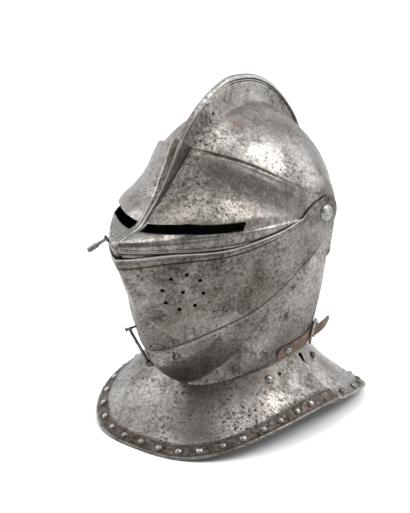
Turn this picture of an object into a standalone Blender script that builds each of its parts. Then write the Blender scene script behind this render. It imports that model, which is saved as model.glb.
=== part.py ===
"""A steel close helmet of the armet family, resting on its own gorget rim.

The wearer faces -Y, the wearer's left is +X and +Z is up. Every plate of the head is drawn about the pivot
axis, a line along X. A place on a plate is an angle about that axis, measured from straight ahead upward,
and a distance from it. The two gorget plates are drawn about the neck instead.
"""

import math

import bmesh
import bpy
from mathutils import Matrix, Vector
from mathutils.bvhtree import BVHTree

for thing in list(bpy.data.objects):
    bpy.data.objects.remove(thing, do_unlink=True)

# Driving dimensions, in metres.
PLATE = 0.0014              # thickness of the steel
GAP = 0.0009                # room between two plates that lie on each other
FIT = 0.0003                # room round a rivet or under its head
HALF_WIDTH = 0.0950         # of the skull, at the pivots
DOME_RADIUS = 0.1020        # of the skull above the pivots, without the comb
COMB_RADIUS = 0.1335        # of the comb's crest about the pivots
COMB_BASE = 0.0070          # half the comb's width where it leaves the dome
COMB_CREST = 0.0028         # half the width of its crest
BEAK_REACH = 0.2020         # of the upper bevor's point, forward of the pivots
VISOR_REACH = BEAK_REACH - 0.0005   # of the visor's shelf, forward of the pivots
KEEL_ROOM = 0.0026          # between the comb's crest and the visor's hollow keel
KEEL_TOP = 0.0060           # half the keel's width at its upper end
KEEL_TIP = 0.0024           # half its width at the sights
KEEL_FLARE = 0.0030         # how much wider the keel's foot is
NECK_CENTRE = -0.0200       # of the neck opening, forward of the pivots when negative
NECK_WIDTH = HALF_WIDTH - 0.0130    # half the neck opening's width, outside
NECK_FRONT = 0.0860         # its half-length forward
NECK_BACK = 0.0760          # its half-length backward
NECK_DROP = 0.1500          # of the neck line at sides and back, below the pivots
CHIN_DROP = 0.0280          # how much lower the neck line is in front
RIM_WIDTH = HALF_WIDTH + 0.0240     # half the gorget's width
RIM_FRONT = 0.1765          # its reach forward of the pivots
RIM_BACK = 0.1270           # its reach behind the pivots
RIM_DROP = 0.2275           # of the lowest rim, below the pivots
RIM_ARCH = 0.0250           # how far the rim rises at the sides
RIM_BEND = 2.60             # how square the rim is, 2 being an ellipse
COLLAR = 0.0050             # height of the gorget's collar inside the neck
COLLAR_LEAN = 0.0020        # how far its top leans in
COLLAR_ROOM = 0.0012        # room between it and the plates outside it, above their gap
BORDER = 0.0150             # width of the sunken border
SINK = 0.0011               # its depth
BEAD = 0.0035               # thickness of the rolled rim
RIM_GRIND = 0.0012          # how far the rim is raised so that its lowest stretch stands flat
DISC = 0.0180               # radius of the plates' round ends at the pivots
PIVOT_HOLE = 0.0034         # radius of the hole for the pivot rivet
PIVOT_HEAD = 0.0090         # radius of the pivot rivet's domed head
SIGHT_GAP = 0.0092          # height of a sight at its outer end
SIGHT_IN = 0.0058           # where a sight starts, from the middle
SIGHT_OUT = HALF_WIDTH - 0.0175     # where it ends
BREATH_RING = 0.0205        # radius of the ring of breaths
BREATH_HOLE = 0.0021        # radius of one breath
BORDER_RIVET = 0.0031       # radius of a border rivet's head
STRAP = 0.0018              # thickness of the leather
STRAP_WIDTH = 0.0120
HOLE = 0.0016               # radius of the holes for the strap and hook rivets
WIRE = 0.0012               # radius of the buckle's wire
ROD = 0.0016                # radius of the hook's rod
PEG_LENGTH = 0.0260         # of the peg that lifts the visor
PEG = 0.0019                # its radius at the root

# The frame stands on the floor, midway between the beak and the back rim, which its bead keeps a little short.
PIVOT_Y = (BEAK_REACH * 0.995 - RIM_BACK + 0.0031) / 2
PIVOT_Z = RIM_DROP

LAYER = PLATE + GAP
SKULL_WIDTH = HALF_WIDTH
BEVOR_WIDTH = HALF_WIDTH + LAYER
VISOR_WIDTH = HALF_WIDTH + 2 * LAYER
VENTAIL_WIDTH = HALF_WIDTH + 3 * LAYER

# Bends of a plate's section: the share of its width to the power first, plus the share of its reach to the
# power second, is one.
DOME_BEND = (1.64, 1.96)
PROW_BEND = (1.25, 1.95)

# Skull outline: angle, share of DOME_RADIUS.
SKULL_REACH = (
    (8, 1.225), (24, 1.195), (36, 1.165), (50, 1.10), (62, 1.045), (75, 1.0), (90, 0.962), (110, 0.905),
    (135, 0.850), (160, 0.822), (180, 0.822), (200, 0.870), (218, 1.00), (234, 1.23),
)
# Comb outline: angle, share of COMB_RADIUS.
COMB_REACH = (
    (10, 1.0), (40, 1.0), (74, 0.998), (84, 0.968), (95, 0.930), (106, 0.882), (119, 0.824),
    (132, 0.786), (149, 0.753), (165, 0.725), (180, 0.670), (192, 0.650),
)
# Visor outline: angle, share of the way from the dome to VISOR_REACH, the same for the keel from the comb.
VISOR_SHARE = (
    (37, 0.0), (28, 0.03), (20, 0.10), (12, 0.20), (6, 0.375), (2.6, 0.50), (1.4, 0.66), (0.6, 0.84),
    (-0.4, 0.975), (-1.8, 1.0), (-4.5, 0.965), (-9, 0.88), (-13, 0.82),
)
KEEL_SHARE = (
    (37, 0.0), (28, 0.0), (20, 0.03), (12, 0.13), (6, 0.31), (2.6, 0.46), (1.4, 0.63), (0.6, 0.82),
    (-0.4, 0.96), (-1.8, 0.985),
)
# Upper bevor and lower bevor outlines: angle, share of BEAK_REACH.
VENTAIL_REACH = ((-4, 1.0), (-5.5, 0.998), (-14, 0.950), (-25, 0.930), (-33, 0.958), (-41, 0.990), (-47, 1.02))
BEVOR_REACH = (
    (-20, 0.905), (-30, 0.910), (-35, 0.925), (-40, 0.952), (-43.5, 0.980), (-46, 1.018), (-52, 1.026),
)


def clamp(value, low=0.0, high=1.0):
    return max(low, min(high, value))


def mix(first, second, share):
    return first + (second - first) * share


def ease(share):
    share = clamp(share)
    return share * share * (3 - 2 * share)


def curve(rows):
    """A smooth function through the rows (x, y), flat beyond its ends, with no overshoot."""
    rows = sorted(rows)
    xs = [row[0] for row in rows]
    ys = [row[1] for row in rows]
    steps = [(ys[i + 1] - ys[i]) / (xs[i + 1] - xs[i]) for i in range(len(xs) - 1)]
    slopes = [steps[0]]
    for before, after in zip(steps, steps[1:]):
        slopes.append(0.0 if before * after <= 0 else 2 * before * after / (before + after))
    slopes.append(steps[-1])

    def at(x):
        x = clamp(x, xs[0], xs[-1])
        i = 0
        while i < len(xs) - 2 and x > xs[i + 1]:
            i += 1
        width = xs[i + 1] - xs[i]
        t = (x - xs[i]) / width
        return ((2 * t ** 3 - 3 * t ** 2 + 1) * ys[i] + (t ** 3 - 2 * t ** 2 + t) * width * slopes[i]
                + (3 * t ** 2 - 2 * t ** 3) * ys[i + 1] + (t ** 3 - t ** 2) * width * slopes[i + 1])

    return at


def from_pivot(x, distance, angle):
    """A point in the frame, from its place about the pivot axis."""
    turn = math.radians(angle)
    return Vector((x, PIVOT_Y - distance * math.cos(turn), PIVOT_Z + distance * math.sin(turn)))


def neck_point(turn, inset=0.0):
    """The neck line at a turn round the neck from the front, in degrees, forward and down negative."""
    turn = math.radians(turn)
    length = (NECK_FRONT if math.cos(turn) > 0 else NECK_BACK) - inset
    x = (NECK_WIDTH - inset) * math.sin(turn)
    y = NECK_CENTRE - length * math.cos(turn)
    low = clamp((NECK_CENTRE - y) / NECK_FRONT)
    return x, y, -NECK_DROP - CHIN_DROP * low ** 2.2


# How much of a section is a prow, by angle.
prow_share = curve(((-62, 0.0), (-46, 0.32), (-33, 0.55), (-15, 0.85), (-4, 1.0), (5, 1.0), (34, 0.0)))
# The visor above the sights is fuller than the prow below them: how far its bend goes to FULL_BEND, by angle.
FULL_BEND = 2.50
full_share = curve((
    (37, 0.0), (28, 0.03), (20, 0.18), (12, 0.60), (7, 0.93), (4, 0.96), (2.6, 0.88), (1.4, 0.49), (0.6, 0.18), (-0.4, 0.0),
))


class Form:
    """The outer face of one plate of the head: half-width, outline and the neck line below it."""

    def __init__(self, half_width, outline, corner_angle, inset, prow=True, full=False):
        self.half_width = half_width
        self.full = full
        self.prow = prow
        self.inset = inset
        self.neck_rows = []
        for step in range(0, 181, 6):
            x, y, z = neck_point(step, inset)
            angle = math.degrees(math.atan2(z, -y))
            across, along = self.bends(angle)
            share = (1 - (x / half_width) ** across) ** (1 / along) if step % 180 else 1.0
            self.neck_rows.append((angle, math.hypot(y, z) / share, x))
        front, back = self.neck_rows[0], self.neck_rows[-1]
        self.neck_reach = curve([(row[0], row[1]) for row in self.neck_rows])
        self.neck_x = curve([(row[0], row[2]) for row in self.neck_rows])
        self.front_corner = front[0]
        self.back_corner = back[0] + 360
        self.outline = curve(outline + ([(front[0], front[1])] if corner_angle == "front" else
                                        [(self.back_corner, back[1])] if corner_angle == "back" else []))

    def bends(self, angle, out=1.0):
        share = prow_share(angle) if self.prow else 0.0
        across = mix(DOME_BEND[0], PROW_BEND[0], share)
        if self.full:
            across = mix(across, FULL_BEND, full_share(angle) * clamp((out - 0.25) / 0.60))
        return across, mix(DOME_BEND[1], PROW_BEND[1], share)

    def at_neck(self, angle):
        """The angle below the neck's corners, counted from the front downward, or None above them."""
        if angle > 200:
            angle -= 360
        return angle if self.back_corner - 360 < angle < self.front_corner else None

    def reach(self, angle):
        low = self.at_neck(angle)
        return self.outline(angle) if low is None else self.neck_reach(low)

    def edge_x(self, angle):
        low = self.at_neck(angle)
        return 0.0 if low is None else self.neck_x(low)

    def distance(self, angle, x):
        across, along = self.bends(angle)
        return self.reach(angle) * (1 - clamp(x / self.half_width) ** across) ** (1 / along)

    def turn_at_x(self, angle, x):
        across = self.bends(angle)[0]
        return math.acos(clamp(x / self.half_width) ** (across / 2))

    def turn_at_distance(self, angle, distance):
        along = self.bends(angle)[1]
        return math.asin(clamp(distance / self.reach(angle)) ** (along / 2))

    def place(self, angle, turn):
        """Half-width and distance on the section at an angle; turn runs from the pivot to the middle."""
        along = self.bends(angle)[1]
        distance = self.reach(angle) * math.sin(turn) ** (2 / along)
        across = self.bends(angle, distance / self.reach(angle))[0]
        x = self.half_width * max(0.0, math.cos(turn)) ** (2 / across)
        x = self.clear_of_skull(angle, distance, x)
        return mix(self.half_width, x, ease((distance - DISC) / (1.4 * DISC))), distance

    def clear_of_skull(self, angle, distance, x):
        """A prow keeps outside the skull that it swings over."""
        if not self.prow or angle < -75:
            return x
        skull = skull_form
        at = max(angle, 8)
        across, along = DOME_BEND
        share = clamp(distance / skull.reach(at))
        wanted = self.half_width * (1 - share ** along) ** (1 / across)
        short = wanted - x
        lift = (short + math.hypot(short, GAP)) / 2
        return x + lift * (1 - ease((share - 0.80) / 0.19)) * ease((angle + 75) / 20)


def rows_in_metres(rows, size):
    return [(angle, share * size) for angle, share in rows]


skull_form = Form(SKULL_WIDTH, rows_in_metres(SKULL_REACH, DOME_RADIUS), "back", LAYER + FIT * 2, prow=False)
comb_reach = curve(rows_in_metres(COMB_REACH, COMB_RADIUS))
keel_base = COMB_RADIUS + KEEL_ROOM + PLATE
visor_form = Form(VISOR_WIDTH, [
    (angle, mix(skull_form.reach(max(angle, 8)) + LAYER, VISOR_REACH, share)) for angle, share in VISOR_SHARE
], None, 0.0, full=True)
keel_reach = curve([(angle, mix(keel_base, VISOR_REACH, share)) for angle, share in KEEL_SHARE])
ventail_form = Form(VENTAIL_WIDTH, rows_in_metres(VENTAIL_REACH, BEAK_REACH), "front", -LAYER)
bevor_form = Form(BEVOR_WIDTH, rows_in_metres(BEVOR_REACH, BEAK_REACH), "front", 0.0)


def comb_row(angle, share_up, half_width, foot):
    """A point of the comb's side: how far up the blade it is and its half-width."""
    rise = max(0.0008, comb_reach(angle) - skull_form.distance(angle, foot))
    fade = clamp((200 - angle) / 10)
    return half_width, skull_form.distance(angle, foot) + max(0.0004, rise * fade) * share_up


# Stuffs: colour, roughness, metallic.
STUFFS = {
    "steel": ((0.32, 0.31, 0.29), 0.38, 1.0),
    "leather": ((0.16, 0.085, 0.05), 0.6, 0.0),
}


def new_object(name, data, stuff):
    """A linked object from a mesh or curve, with a material of its own unless it is a cutter."""
    thing = bpy.data.objects.new(name, data)
    bpy.context.scene.collection.objects.link(thing)
    if stuff:
        colour, roughness, metallic = STUFFS[stuff]
        material = bpy.data.materials.new(name)
        material.use_nodes = True
        shader = material.node_tree.nodes["Principled BSDF"]
        shader.inputs["Base Color"].default_value = (*colour, 1)
        shader.inputs["Roughness"].default_value = roughness
        shader.inputs["Metallic"].default_value = metallic
        data.materials.append(material)
    return thing


def smooth_faces(mesh, sharp=40):
    mesh.shade_smooth()
    mesh.set_sharp_from_angle(angle=math.radians(sharp))


def mirrored_plate(name, half_points, faces, material):
    """A plate from the points and faces of its +X half, welded at the middle and given its thickness."""
    work = bmesh.new()
    for side in (1, -1):
        verts = [work.verts.new((side * point.x, point.y, point.z)) for point in half_points]
        for face in faces:
            ring = [verts[i] for i in face]
            work.faces.new(ring if side == 1 else ring[::-1])
    bmesh.ops.remove_doubles(work, verts=work.verts, dist=1e-6)
    mesh = bpy.data.meshes.new(name)
    work.to_mesh(mesh)
    work.free()
    smooth_faces(mesh)
    thing = new_object(name, mesh, material)
    wall = thing.modifiers.new("Wall", "SOLIDIFY")
    wall.thickness = PLATE
    wall.offset = -1
    wall.use_even_offset = True
    return thing


ROW_BUNCHING = 1.45         # above one, rows stand closer near the pivot


def head_plate(name, form, columns, first_edge, last_edge, row_count, ridge, material, split=None):
    """A plate that turns about the pivots.

    columns are the angles of its sections at the middle or at the neck line. The edge tables give the angle of
    the first and the last column by the share of the way from the disc to the plate's edge. ridge lists
    functions of the angle that give the half-width and distance of each row of a raised keel or comb. split is
    a column and a row: from that row on, that column follows the neck line forward to the middle, and the
    columns after it end there.
    """
    first_at = curve(first_edge)
    last_at = curve(last_edge)
    span = columns[-1] - columns[0]
    points = []
    sector = []
    for k, end_angle in enumerate(columns):
        even = k / (len(columns) - 1)
        along = (end_angle - columns[0]) / span
        foot = ridge[0](end_angle)[0] if ridge else 0.0
        start_turn = form.turn_at_distance(end_angle, DISC)
        end_turn = form.turn_at_x(end_angle, form.edge_x(end_angle) + foot)
        end_distance = form.distance(end_angle, form.edge_x(end_angle) + foot)
        line = []
        rows_here = split[1] if split and k >= split[0] else row_count
        for i in range(rows_here + 1):
            share = (i / rows_here) ** ROW_BUNCHING
            turn = mix(start_turn, end_turn, share)
            distance = form.reach(end_angle) * math.sin(turn) ** (2 / form.bends(end_angle)[1])
            way = clamp((distance - DISC) / (end_distance - DISC))
            column = mix(even, along, ease(share * 2.0))
            angle = mix(first_at(way), last_at(way), column)
            if i == rows_here:
                angle = end_angle
            here = form.turn_at_distance(angle, distance) if i < rows_here else end_turn
            x, distance = form.place(angle, here)
            if i == 0:
                x, distance = form.half_width, DISC
            line.append((x, distance, angle))
        if split and k == split[0]:
            for i in range(split[1] + 1, row_count + 1):
                x = form.edge_x(end_angle) * (row_count - i) / (row_count - split[1])
                turn = math.degrees(math.asin(x / (NECK_WIDTH - form.inset)))
                x, y, z = neck_point(turn, form.inset)
                line.append((x, math.hypot(y, z), math.degrees(math.atan2(z, -y))))
        low = form.at_neck(end_angle)
        for row in ridge[1:]:
            half_width, distance = row(end_angle)
            if low is not None:
                half_width += form.edge_x(end_angle)
                distance = form.distance(end_angle, half_width)
            line.append((half_width, distance, end_angle))
        if low is None:
            line[-1] = (0.0, line[-1][1], line[-1][2])
        sector.append(line)
    starts = []
    for line in sector:
        starts.append(len(points))
        points += [from_pivot(*place) for place in line]
    faces = []
    for k in range(len(sector) - 1):
        for i in range(min(len(sector[k]), len(sector[k + 1])) - 1):
            a, b = starts[k] + i, starts[k + 1] + i
            faces.append((a, a + 1, b + 1, b))
    # The disc: a ring round the rivet hole, whose outer side is the first row where the plate leaves it.
    ring_angles = [line[0][2] for line in sector]
    missing = 360 - abs(ring_angles[-1] - ring_angles[0])
    extra = max(1, round(missing / 22))
    step = math.copysign(missing / extra, span)
    outer = list(starts)
    for n in range(1, extra):
        angle = sector[-1][0][2] + step * n
        outer.append(len(points))
        ring_angles.append(angle)
        points.append(from_pivot(form.half_width, DISC, angle))
    inner = []
    for angle in ring_angles:
        inner.append(len(points))
        points.append(from_pivot(form.half_width, PIVOT_HOLE, angle))
    for n in range(len(outer)):
        m = (n + 1) % len(outer)
        faces.append((inner[n], outer[n], outer[m], inner[m]))
    if span < 0:
        faces = [face[::-1] for face in faces]
    return mirrored_plate(name, points, [face[::-1] for face in faces], material)


BROW_ANGLE = 12.0
CHEEK_ANGLE = 273.0
back_corner = skull_form.back_corner
skull_columns = ([BROW_ANGLE, 21] + [34 + 10 * i for i in range(9)] + [126, 138, 150, 162, 174, 184, 194, 204, 218, 231]
                 + [241, back_corner, 252.3, 254.6, 258.0, 263.5, CHEEK_ANGLE])
skull = head_plate(
    "skull", skull_form, skull_columns,
    first_edge=((0.0, -8), (0.15, 0), (0.5, 9), (1.0, BROW_ANGLE)),
    last_edge=((0.0, 300), (0.2, 285), (0.6, 276), (1.0, CHEEK_ANGLE)),
    row_count=7,
    ridge=(
        lambda angle: comb_row(angle, 0.0, COMB_BASE, COMB_BASE),
        lambda angle: comb_row(angle, 0.88, COMB_CREST, COMB_BASE),
        lambda angle: comb_row(angle, 0.985, COMB_CREST * 0.9, COMB_BASE),
        lambda angle: comb_row(angle, 1.0, 0.0, COMB_BASE),
    ),
    material="steel")

keel_half = curve(((37, KEEL_TOP), (20, KEEL_TOP * 0.85), (6, KEEL_TIP * 1.2), (-2, KEEL_TIP)))


def keel_row(angle, share_up, share_wide):
    foot = keel_half(angle) + KEEL_FLARE
    base = visor_form.distance(angle, foot)
    fade = ease((angle + 3) / 5)
    top = base + max(0.0003, (keel_reach(angle) - base)) * fade if fade > 0 else base
    flat = visor_form.distance(angle, 0.0)
    top = max(top, mix(flat, top, fade))
    return foot if share_up == 0 else keel_half(angle) * share_wide, mix(base, top, share_up)


visor_columns = [37, 31, 25, 19, 13.5, 9, 6, 3.6, 2.0, 0.9, -0.3, -1.8, -4.5, -11.5]
visor = head_plate(
    "visor", visor_form, visor_columns,
    first_edge=((0.0, 100), (0.06, 62), (0.16, 51), (0.41, 44), (0.77, 40.4), (1.0, 37)),
    last_edge=((0.0, -75), (0.08, -40), (0.3, -21), (0.7, -15), (1.0, -11.5)),
    row_count=8,
    ridge=(
        lambda angle: keel_row(angle, 0.0, 1.0),
        lambda angle: keel_row(angle, 0.9, 1.0),
        lambda angle: keel_row(angle, 1.0, 0.5),
        lambda angle: keel_row(angle, 1.0, 0.0),
    ),
    material="steel")

ventail_columns = [-5, -9, -15, -21, -27, -33, -37.5, -41]
ventail = head_plate(
    "ventail", ventail_form, ventail_columns,
    first_edge=((0.0, 60), (0.05, 24), (0.098, 3), (0.245, -5.4), (0.5, -7.3), (0.837, -4.6), (1.0, -5)),
    last_edge=((0.0, -140), (0.08, -78), (0.25, -58), (0.5, -49.5), (0.8, -42.3), (1.0, -41)),
    row_count=10, ridge=(), material="steel")

CHIN_SPLIT = -62.5          # where the neck line stops running along a section
bevor_columns = [-20, -31, -40, -43.5, -46, -53, CHIN_SPLIT, -66, -71, -77, -84, -91]
bevor = head_plate(
    "lower_bevor", bevor_form, bevor_columns,
    first_edge=((0.0, 45), (0.06, 10), (0.12, -7), (0.4, -20), (1.0, -20)),
    last_edge=((0.0, -160), (0.15, -122), (0.5, -101), (1.0, -91)),
    row_count=9, ridge=(), material="steel",
    split=(bevor_columns.index(CHIN_SPLIT), 6))


def rim_point(turn):
    """The gorget's rim at a turn round it from the front."""
    turn = math.radians(turn)
    length = RIM_FRONT if math.cos(turn) > 0 else RIM_BACK
    low_half = 9 if math.cos(turn) > 0 else 20
    away = min(abs(math.degrees(turn)), 180 - abs(math.degrees(turn)))
    rise = math.sin(math.radians(90 * clamp((away - low_half) / (90 - low_half)))) ** 2
    bend = 2 / RIM_BEND
    x = math.copysign(RIM_WIDTH * abs(math.sin(turn)) ** bend, math.sin(turn))
    y = -math.copysign(length * abs(math.cos(turn)) ** bend, math.cos(turn))
    return x, y, -RIM_DROP + RIM_ARCH * rise


FRONT_END = 93.0            # turn where the front gorget plate ends
BACK_END = 87.0             # turn where the rear plate starts under it
UNDER = 0.0027              # how far inside the front plate the rear plate lies
UNDER_DROP = 2.2            # how much deeper it lies below the front plate's end
NECK_STEP = 0.0024          # how far below the neck line the gorget starts to flare
BOW = 0.0035                # how hollow the flare is


def flare_lines(turn, inset):
    """Collar foot, start of the flare, the way down it, the level way out, its outer side and its length."""
    neck = Vector(neck_point(turn, LAYER + COLLAR_ROOM + inset))
    start = neck - Vector((0, 0, NECK_STEP))
    along = Vector(rim_point(turn)) - start
    length = along.length
    along.normalize()
    level = Vector((along.x, along.y, 0)).normalized()
    out = Vector((0, 0, 1)) * level.dot(along) - level * along.z
    return neck, start, along, level, out, length


def on_flare(turn, inset, distance, lift=0.0):
    """A point of a gorget plate's outer face at a distance down its flare, and the way out there."""
    neck, start, along, level, out, length = flare_lines(turn, inset)
    bow = BOW * math.sin(math.pi * clamp(distance / length))
    away = min(abs(turn), 360 - abs(turn)) - FRONT_END
    drop = mix(UNDER_DROP, 1.0, ease((away - 3) / 25)) * inset * ease(distance / (0.3 * length))
    return start + along * distance - out * (bow + drop - lift), out


def gorget_place(point):
    """From the pivots' frame to the part's, with the rim ground flat where it stands."""
    return Vector((point.x, point.y + PIVOT_Y, max(0.0, point.z + PIVOT_Z + RIM_GRIND)))


def gorget_section(turn, inset, corner):
    """Rows of (outer, inner) points of a gorget plate at a turn, from the collar's top to the rim."""
    neck, start, along, level, out, length = flare_lines(turn, inset)
    top = neck + Vector((0, 0, COLLAR)) - level * COLLAR_LEAN
    rows = [
        (top, top - level * PLATE),
        (start + level * 0.0002, start - level * PLATE - Vector((0, 0, PLATE * 0.6))),
    ]
    flare = length - corner

    def row(distance, top, bottom):
        middle = on_flare(turn, inset, distance)[0]
        rows.append((middle + out * top, middle - out * bottom))

    for share in (0.18, 0.42, 0.70):
        row((flare - BORDER) * share, 0.0, PLATE)
    row(flare - BORDER - 0.0012, 0.0, PLATE)
    row(flare - BORDER, -SINK, PLATE + SINK)
    row(flare - BEAD * 1.2, -SINK, PLATE + SINK)
    row(flare - BEAD * 0.8, 0.0, BEAD * 1.15)
    row(flare - BEAD * 0.2, 0.0002, BEAD * 0.9)
    row(flare, -BEAD * 0.35, BEAD * 0.55)
    return rows


def gorget_plate(name, turns, inset, corner_at, material):
    work = bmesh.new()
    grid = []
    for turn in turns:
        pair = []
        for points in gorget_section(turn, inset, corner_at(turn)):
            verts = []
            for point in points:
                verts.append(work.verts.new(gorget_place(point)))
            pair.append(verts)
        grid.append(pair)
    last = len(grid[0]) - 1
    for k in range(len(grid) - 1):
        for i in range(last):
            a, b = grid[k], grid[k + 1]
            work.faces.new((a[i][0], a[i + 1][0], b[i + 1][0], b[i][0]))
            work.faces.new((a[i][1], b[i][1], b[i + 1][1], a[i + 1][1]))
        for i, order in ((0, 1), (last, -1)):
            a, b = grid[k][i], grid[k + 1][i]
            work.faces.new((a[0], b[0], b[1], a[1])[::order])
    for k, order in ((0, 1), (len(grid) - 1, -1)):
        for i in range(last):
            a, b = grid[k][i], grid[k][i + 1]
            work.faces.new((a[0], a[1], b[1], b[0])[::order])
    bmesh.ops.recalc_face_normals(work, faces=work.faces)
    mesh = bpy.data.meshes.new(name)
    work.to_mesh(mesh)
    work.free()
    smooth_faces(mesh)
    return new_object(name, mesh, material)


front_turns = [FRONT_END * i / 13 for i in range(-13, 14)]
gorget_front = gorget_plate("gorget_front", front_turns, 0.0, lambda turn: 0.0, "steel")


def back_corner_cut(turn):
    """The round front corners of the back plate, as a shortening of its section."""
    away = min(abs(turn - BACK_END), abs(360 - BACK_END - turn)) * math.radians(1) * RIM_WIDTH
    radius = 0.012
    return radius - math.sqrt(max(0.0, radius ** 2 - (radius - min(away, radius)) ** 2))


corner_steps = (0, 1.6, 5.9)
back_turns = [BACK_END + step for step in corner_steps]
back_turns += [105 + 10 * i for i in range(16)]
back_turns += [360 - BACK_END - step for step in reversed(corner_steps)]
gorget_rear = gorget_plate("gorget_rear", back_turns, UNDER, back_corner_cut, "steel")


def turned(name, profile, at, axis, sides, material):
    """A solid turned about an axis: profile lists (radius, height) from the top's middle to the bottom's."""
    work = bmesh.new()
    rings = []
    for radius, height in profile:
        if radius == 0:
            rings.append([work.verts.new((0, 0, height))])
            continue
        ring = []
        for n in range(sides):
            turn = 2 * math.pi * n / sides
            ring.append(work.verts.new((radius * math.cos(turn), radius * math.sin(turn), height)))
        rings.append(ring)
    for upper, lower in zip(rings, rings[1:]):
        for n in range(sides):
            m = (n + 1) % sides
            corners = [upper[n % len(upper)], lower[n % len(lower)], lower[m % len(lower)], upper[m % len(upper)]]
            face = [v for i, v in enumerate(corners) if v not in corners[:i]]
            if len(face) > 2:
                work.faces.new(face)
    if len(rings[-1]) > 1:
        work.faces.new(rings[-1][::-1])
    bmesh.ops.recalc_face_normals(work, faces=work.faces)
    mesh = bpy.data.meshes.new(name)
    work.to_mesh(mesh)
    work.free()
    smooth_faces(mesh)
    thing = new_object(name, mesh, material)
    thing.rotation_mode = "QUATERNION"
    thing.rotation_quaternion = Vector((0, 0, 1)).rotation_difference(Vector(axis).normalized())
    thing.location = at
    return thing


def rivet(name, at, axis, radius, height, shank=0.0, depth=0.0, tail=0.0, sides=8, material="steel"):
    """A domed head that sits a hair off its seat at a place, with a shank and a flattened tail below it."""
    profile = [(0, FIT + height), (radius * 0.72, FIT + height * 0.72), (radius, FIT)]
    if shank:
        profile += [(shank, FIT), (shank, -depth - FIT)]
        if tail:
            profile += [(tail, -depth - FIT), (tail, -depth - FIT - tail * 0.35)]
    return turned(name, profile, at, axis, sides, material)


def cutter_from(name, bodies):
    """One cutter from closed bodies, each a list of points and a list of faces."""
    work = bmesh.new()
    for points, faces in bodies:
        verts = [work.verts.new(point) for point in points]
        for face in faces:
            work.faces.new([verts[i] for i in face])
    bmesh.ops.recalc_face_normals(work, faces=work.faces)
    mesh = bpy.data.meshes.new(name)
    work.to_mesh(mesh)
    work.free()
    thing = new_object(name, mesh, None)
    thing.hide_render = True
    thing.display_type = "WIRE"
    return thing


def rod_body(start, end, radius, sides=8):
    """The points and faces of a straight rod, for a cutter."""
    start, end = Vector(start), Vector(end)
    side = (end - start).orthogonal().normalized()
    across = (end - start).normalized().cross(side)
    points = []
    for centre in (start, end):
        for n in range(sides):
            turn = 2 * math.pi * n / sides
            points.append(centre + (side * math.cos(turn) + across * math.sin(turn)) * radius)
    faces = [tuple(range(sides)), tuple(range(2 * sides - 1, sides - 1, -1))]
    faces += [(n, n + sides, (n + 1) % sides + sides, (n + 1) % sides) for n in range(sides)]
    return points, faces


def cut(thing, cutter):
    step = thing.modifiers.new(cutter.name, "BOOLEAN")
    step.operation = "DIFFERENCE"
    step.solver = "EXACT"
    step.object = cutter


def on_plate(form, angle, x, side=1, lift=0.0):
    """A point on a plate's outer face, raised by a lift, and the way out of the plate there."""
    def point(at_angle, at_x):
        return from_pivot(side * at_x, form.distance(at_angle, at_x), at_angle)
    here = point(angle, x)
    up = point(angle + 0.5, x) - point(angle - 0.5, x)
    over = point(angle, x + 0.001) - point(angle, x - 0.001)
    out = up.cross(over).normalized()
    if out.dot(here - Vector((0, PIVOT_Y, PIVOT_Z))) < 0:
        out = -out
    return here + out * lift, out


def seat_on(plate, point):
    """The place on a plate's outer face nearest to a point outside it, and the way out of it there."""
    mesh = plate.data
    tree = BVHTree.FromPolygons([v.co for v in mesh.vertices], [tuple(face.vertices) for face in mesh.polygons])
    return tree.find_nearest(point)[:2]


# The sights: one long slot each side of the keel, a little lower at the outer end.
SIGHT_LOW = 0.0038
SIGHT_END_LOW = 0.0016
SIGHT_TURN = (0.0450, 0.0048)   # where the lower edge turns down, and its height there
SIGHT_ROUND = 0.0028
SIGHT_NARROW = 0.62


def sight_body(side):
    """The points and faces of one sight's cutter: narrower beside the keel, its outer corners rounded."""
    turn_at, turn_low = SIGHT_TURN
    outline = [(turn_at, turn_low), (SIGHT_IN, SIGHT_LOW), (SIGHT_IN, SIGHT_LOW + SIGHT_GAP * SIGHT_NARROW),
               (turn_at, turn_low + SIGHT_GAP * 0.94)]
    low = SIGHT_END_LOW
    for middle, first_turn in ((low + SIGHT_GAP - SIGHT_ROUND, 90), (low + SIGHT_ROUND, 0)):
        for n in range(3):
            turn = math.radians(first_turn - 45 * n)
            outline.append((SIGHT_OUT - SIGHT_ROUND + SIGHT_ROUND * math.cos(turn),
                            middle + SIGHT_ROUND * math.sin(turn)))
    points = []
    for y in (-VISOR_REACH * 1.1, -VISOR_REACH * 0.36):
        points += [(side * x, PIVOT_Y + y, PIVOT_Z + z) for x, z in outline]
    count = len(outline)
    faces = [tuple(range(count)), tuple(range(2 * count - 1, count - 1, -1))]
    faces += [(n, n + count, (n + 1) % count + count, (n + 1) % count) for n in range(count)]
    return points, faces


cut(visor, cutter_from("sight_cutter", [sight_body(1), sight_body(-1)]))

# The breaths: a ring of eight round one, on each side of the upper bevor.
BREATH_ANGLE = -21.0
BREATH_X = 0.0402


def breath_bodies():
    bodies = []
    for side in (1, -1):
        centre, out = on_plate(ventail_form, BREATH_ANGLE, BREATH_X, side)
        up = (Vector((0, 0, 1)) - out * out.z).normalized()
        over = up.cross(out)
        spots = [Vector((0, 0, 0))]
        for n in range(8):
            turn = math.radians(45 * n + 8)
            spots.append((up * math.cos(turn) + over * math.sin(turn)) * BREATH_RING)
        for spot in spots:
            bodies.append(rod_body(centre + spot + out * 0.012, centre + spot - out * 0.014, BREATH_HOLE))
    return bodies


cut(ventail, cutter_from("breath_cutter", breath_bodies()))

# The pivots: one rivet each side, through the four plates.
for side, word in ((1, "left"), (-1, "right")):
    rivet("pivot_rivet_" + word, (side * VENTAIL_WIDTH, PIVOT_Y, PIVOT_Z), (side, 0, 0), PIVOT_HEAD, 0.0042,
          shank=PIVOT_HOLE - FIT, depth=VENTAIL_WIDTH - SKULL_WIDTH + PLATE, tail=0.0060, sides=12, material="steel")

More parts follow.
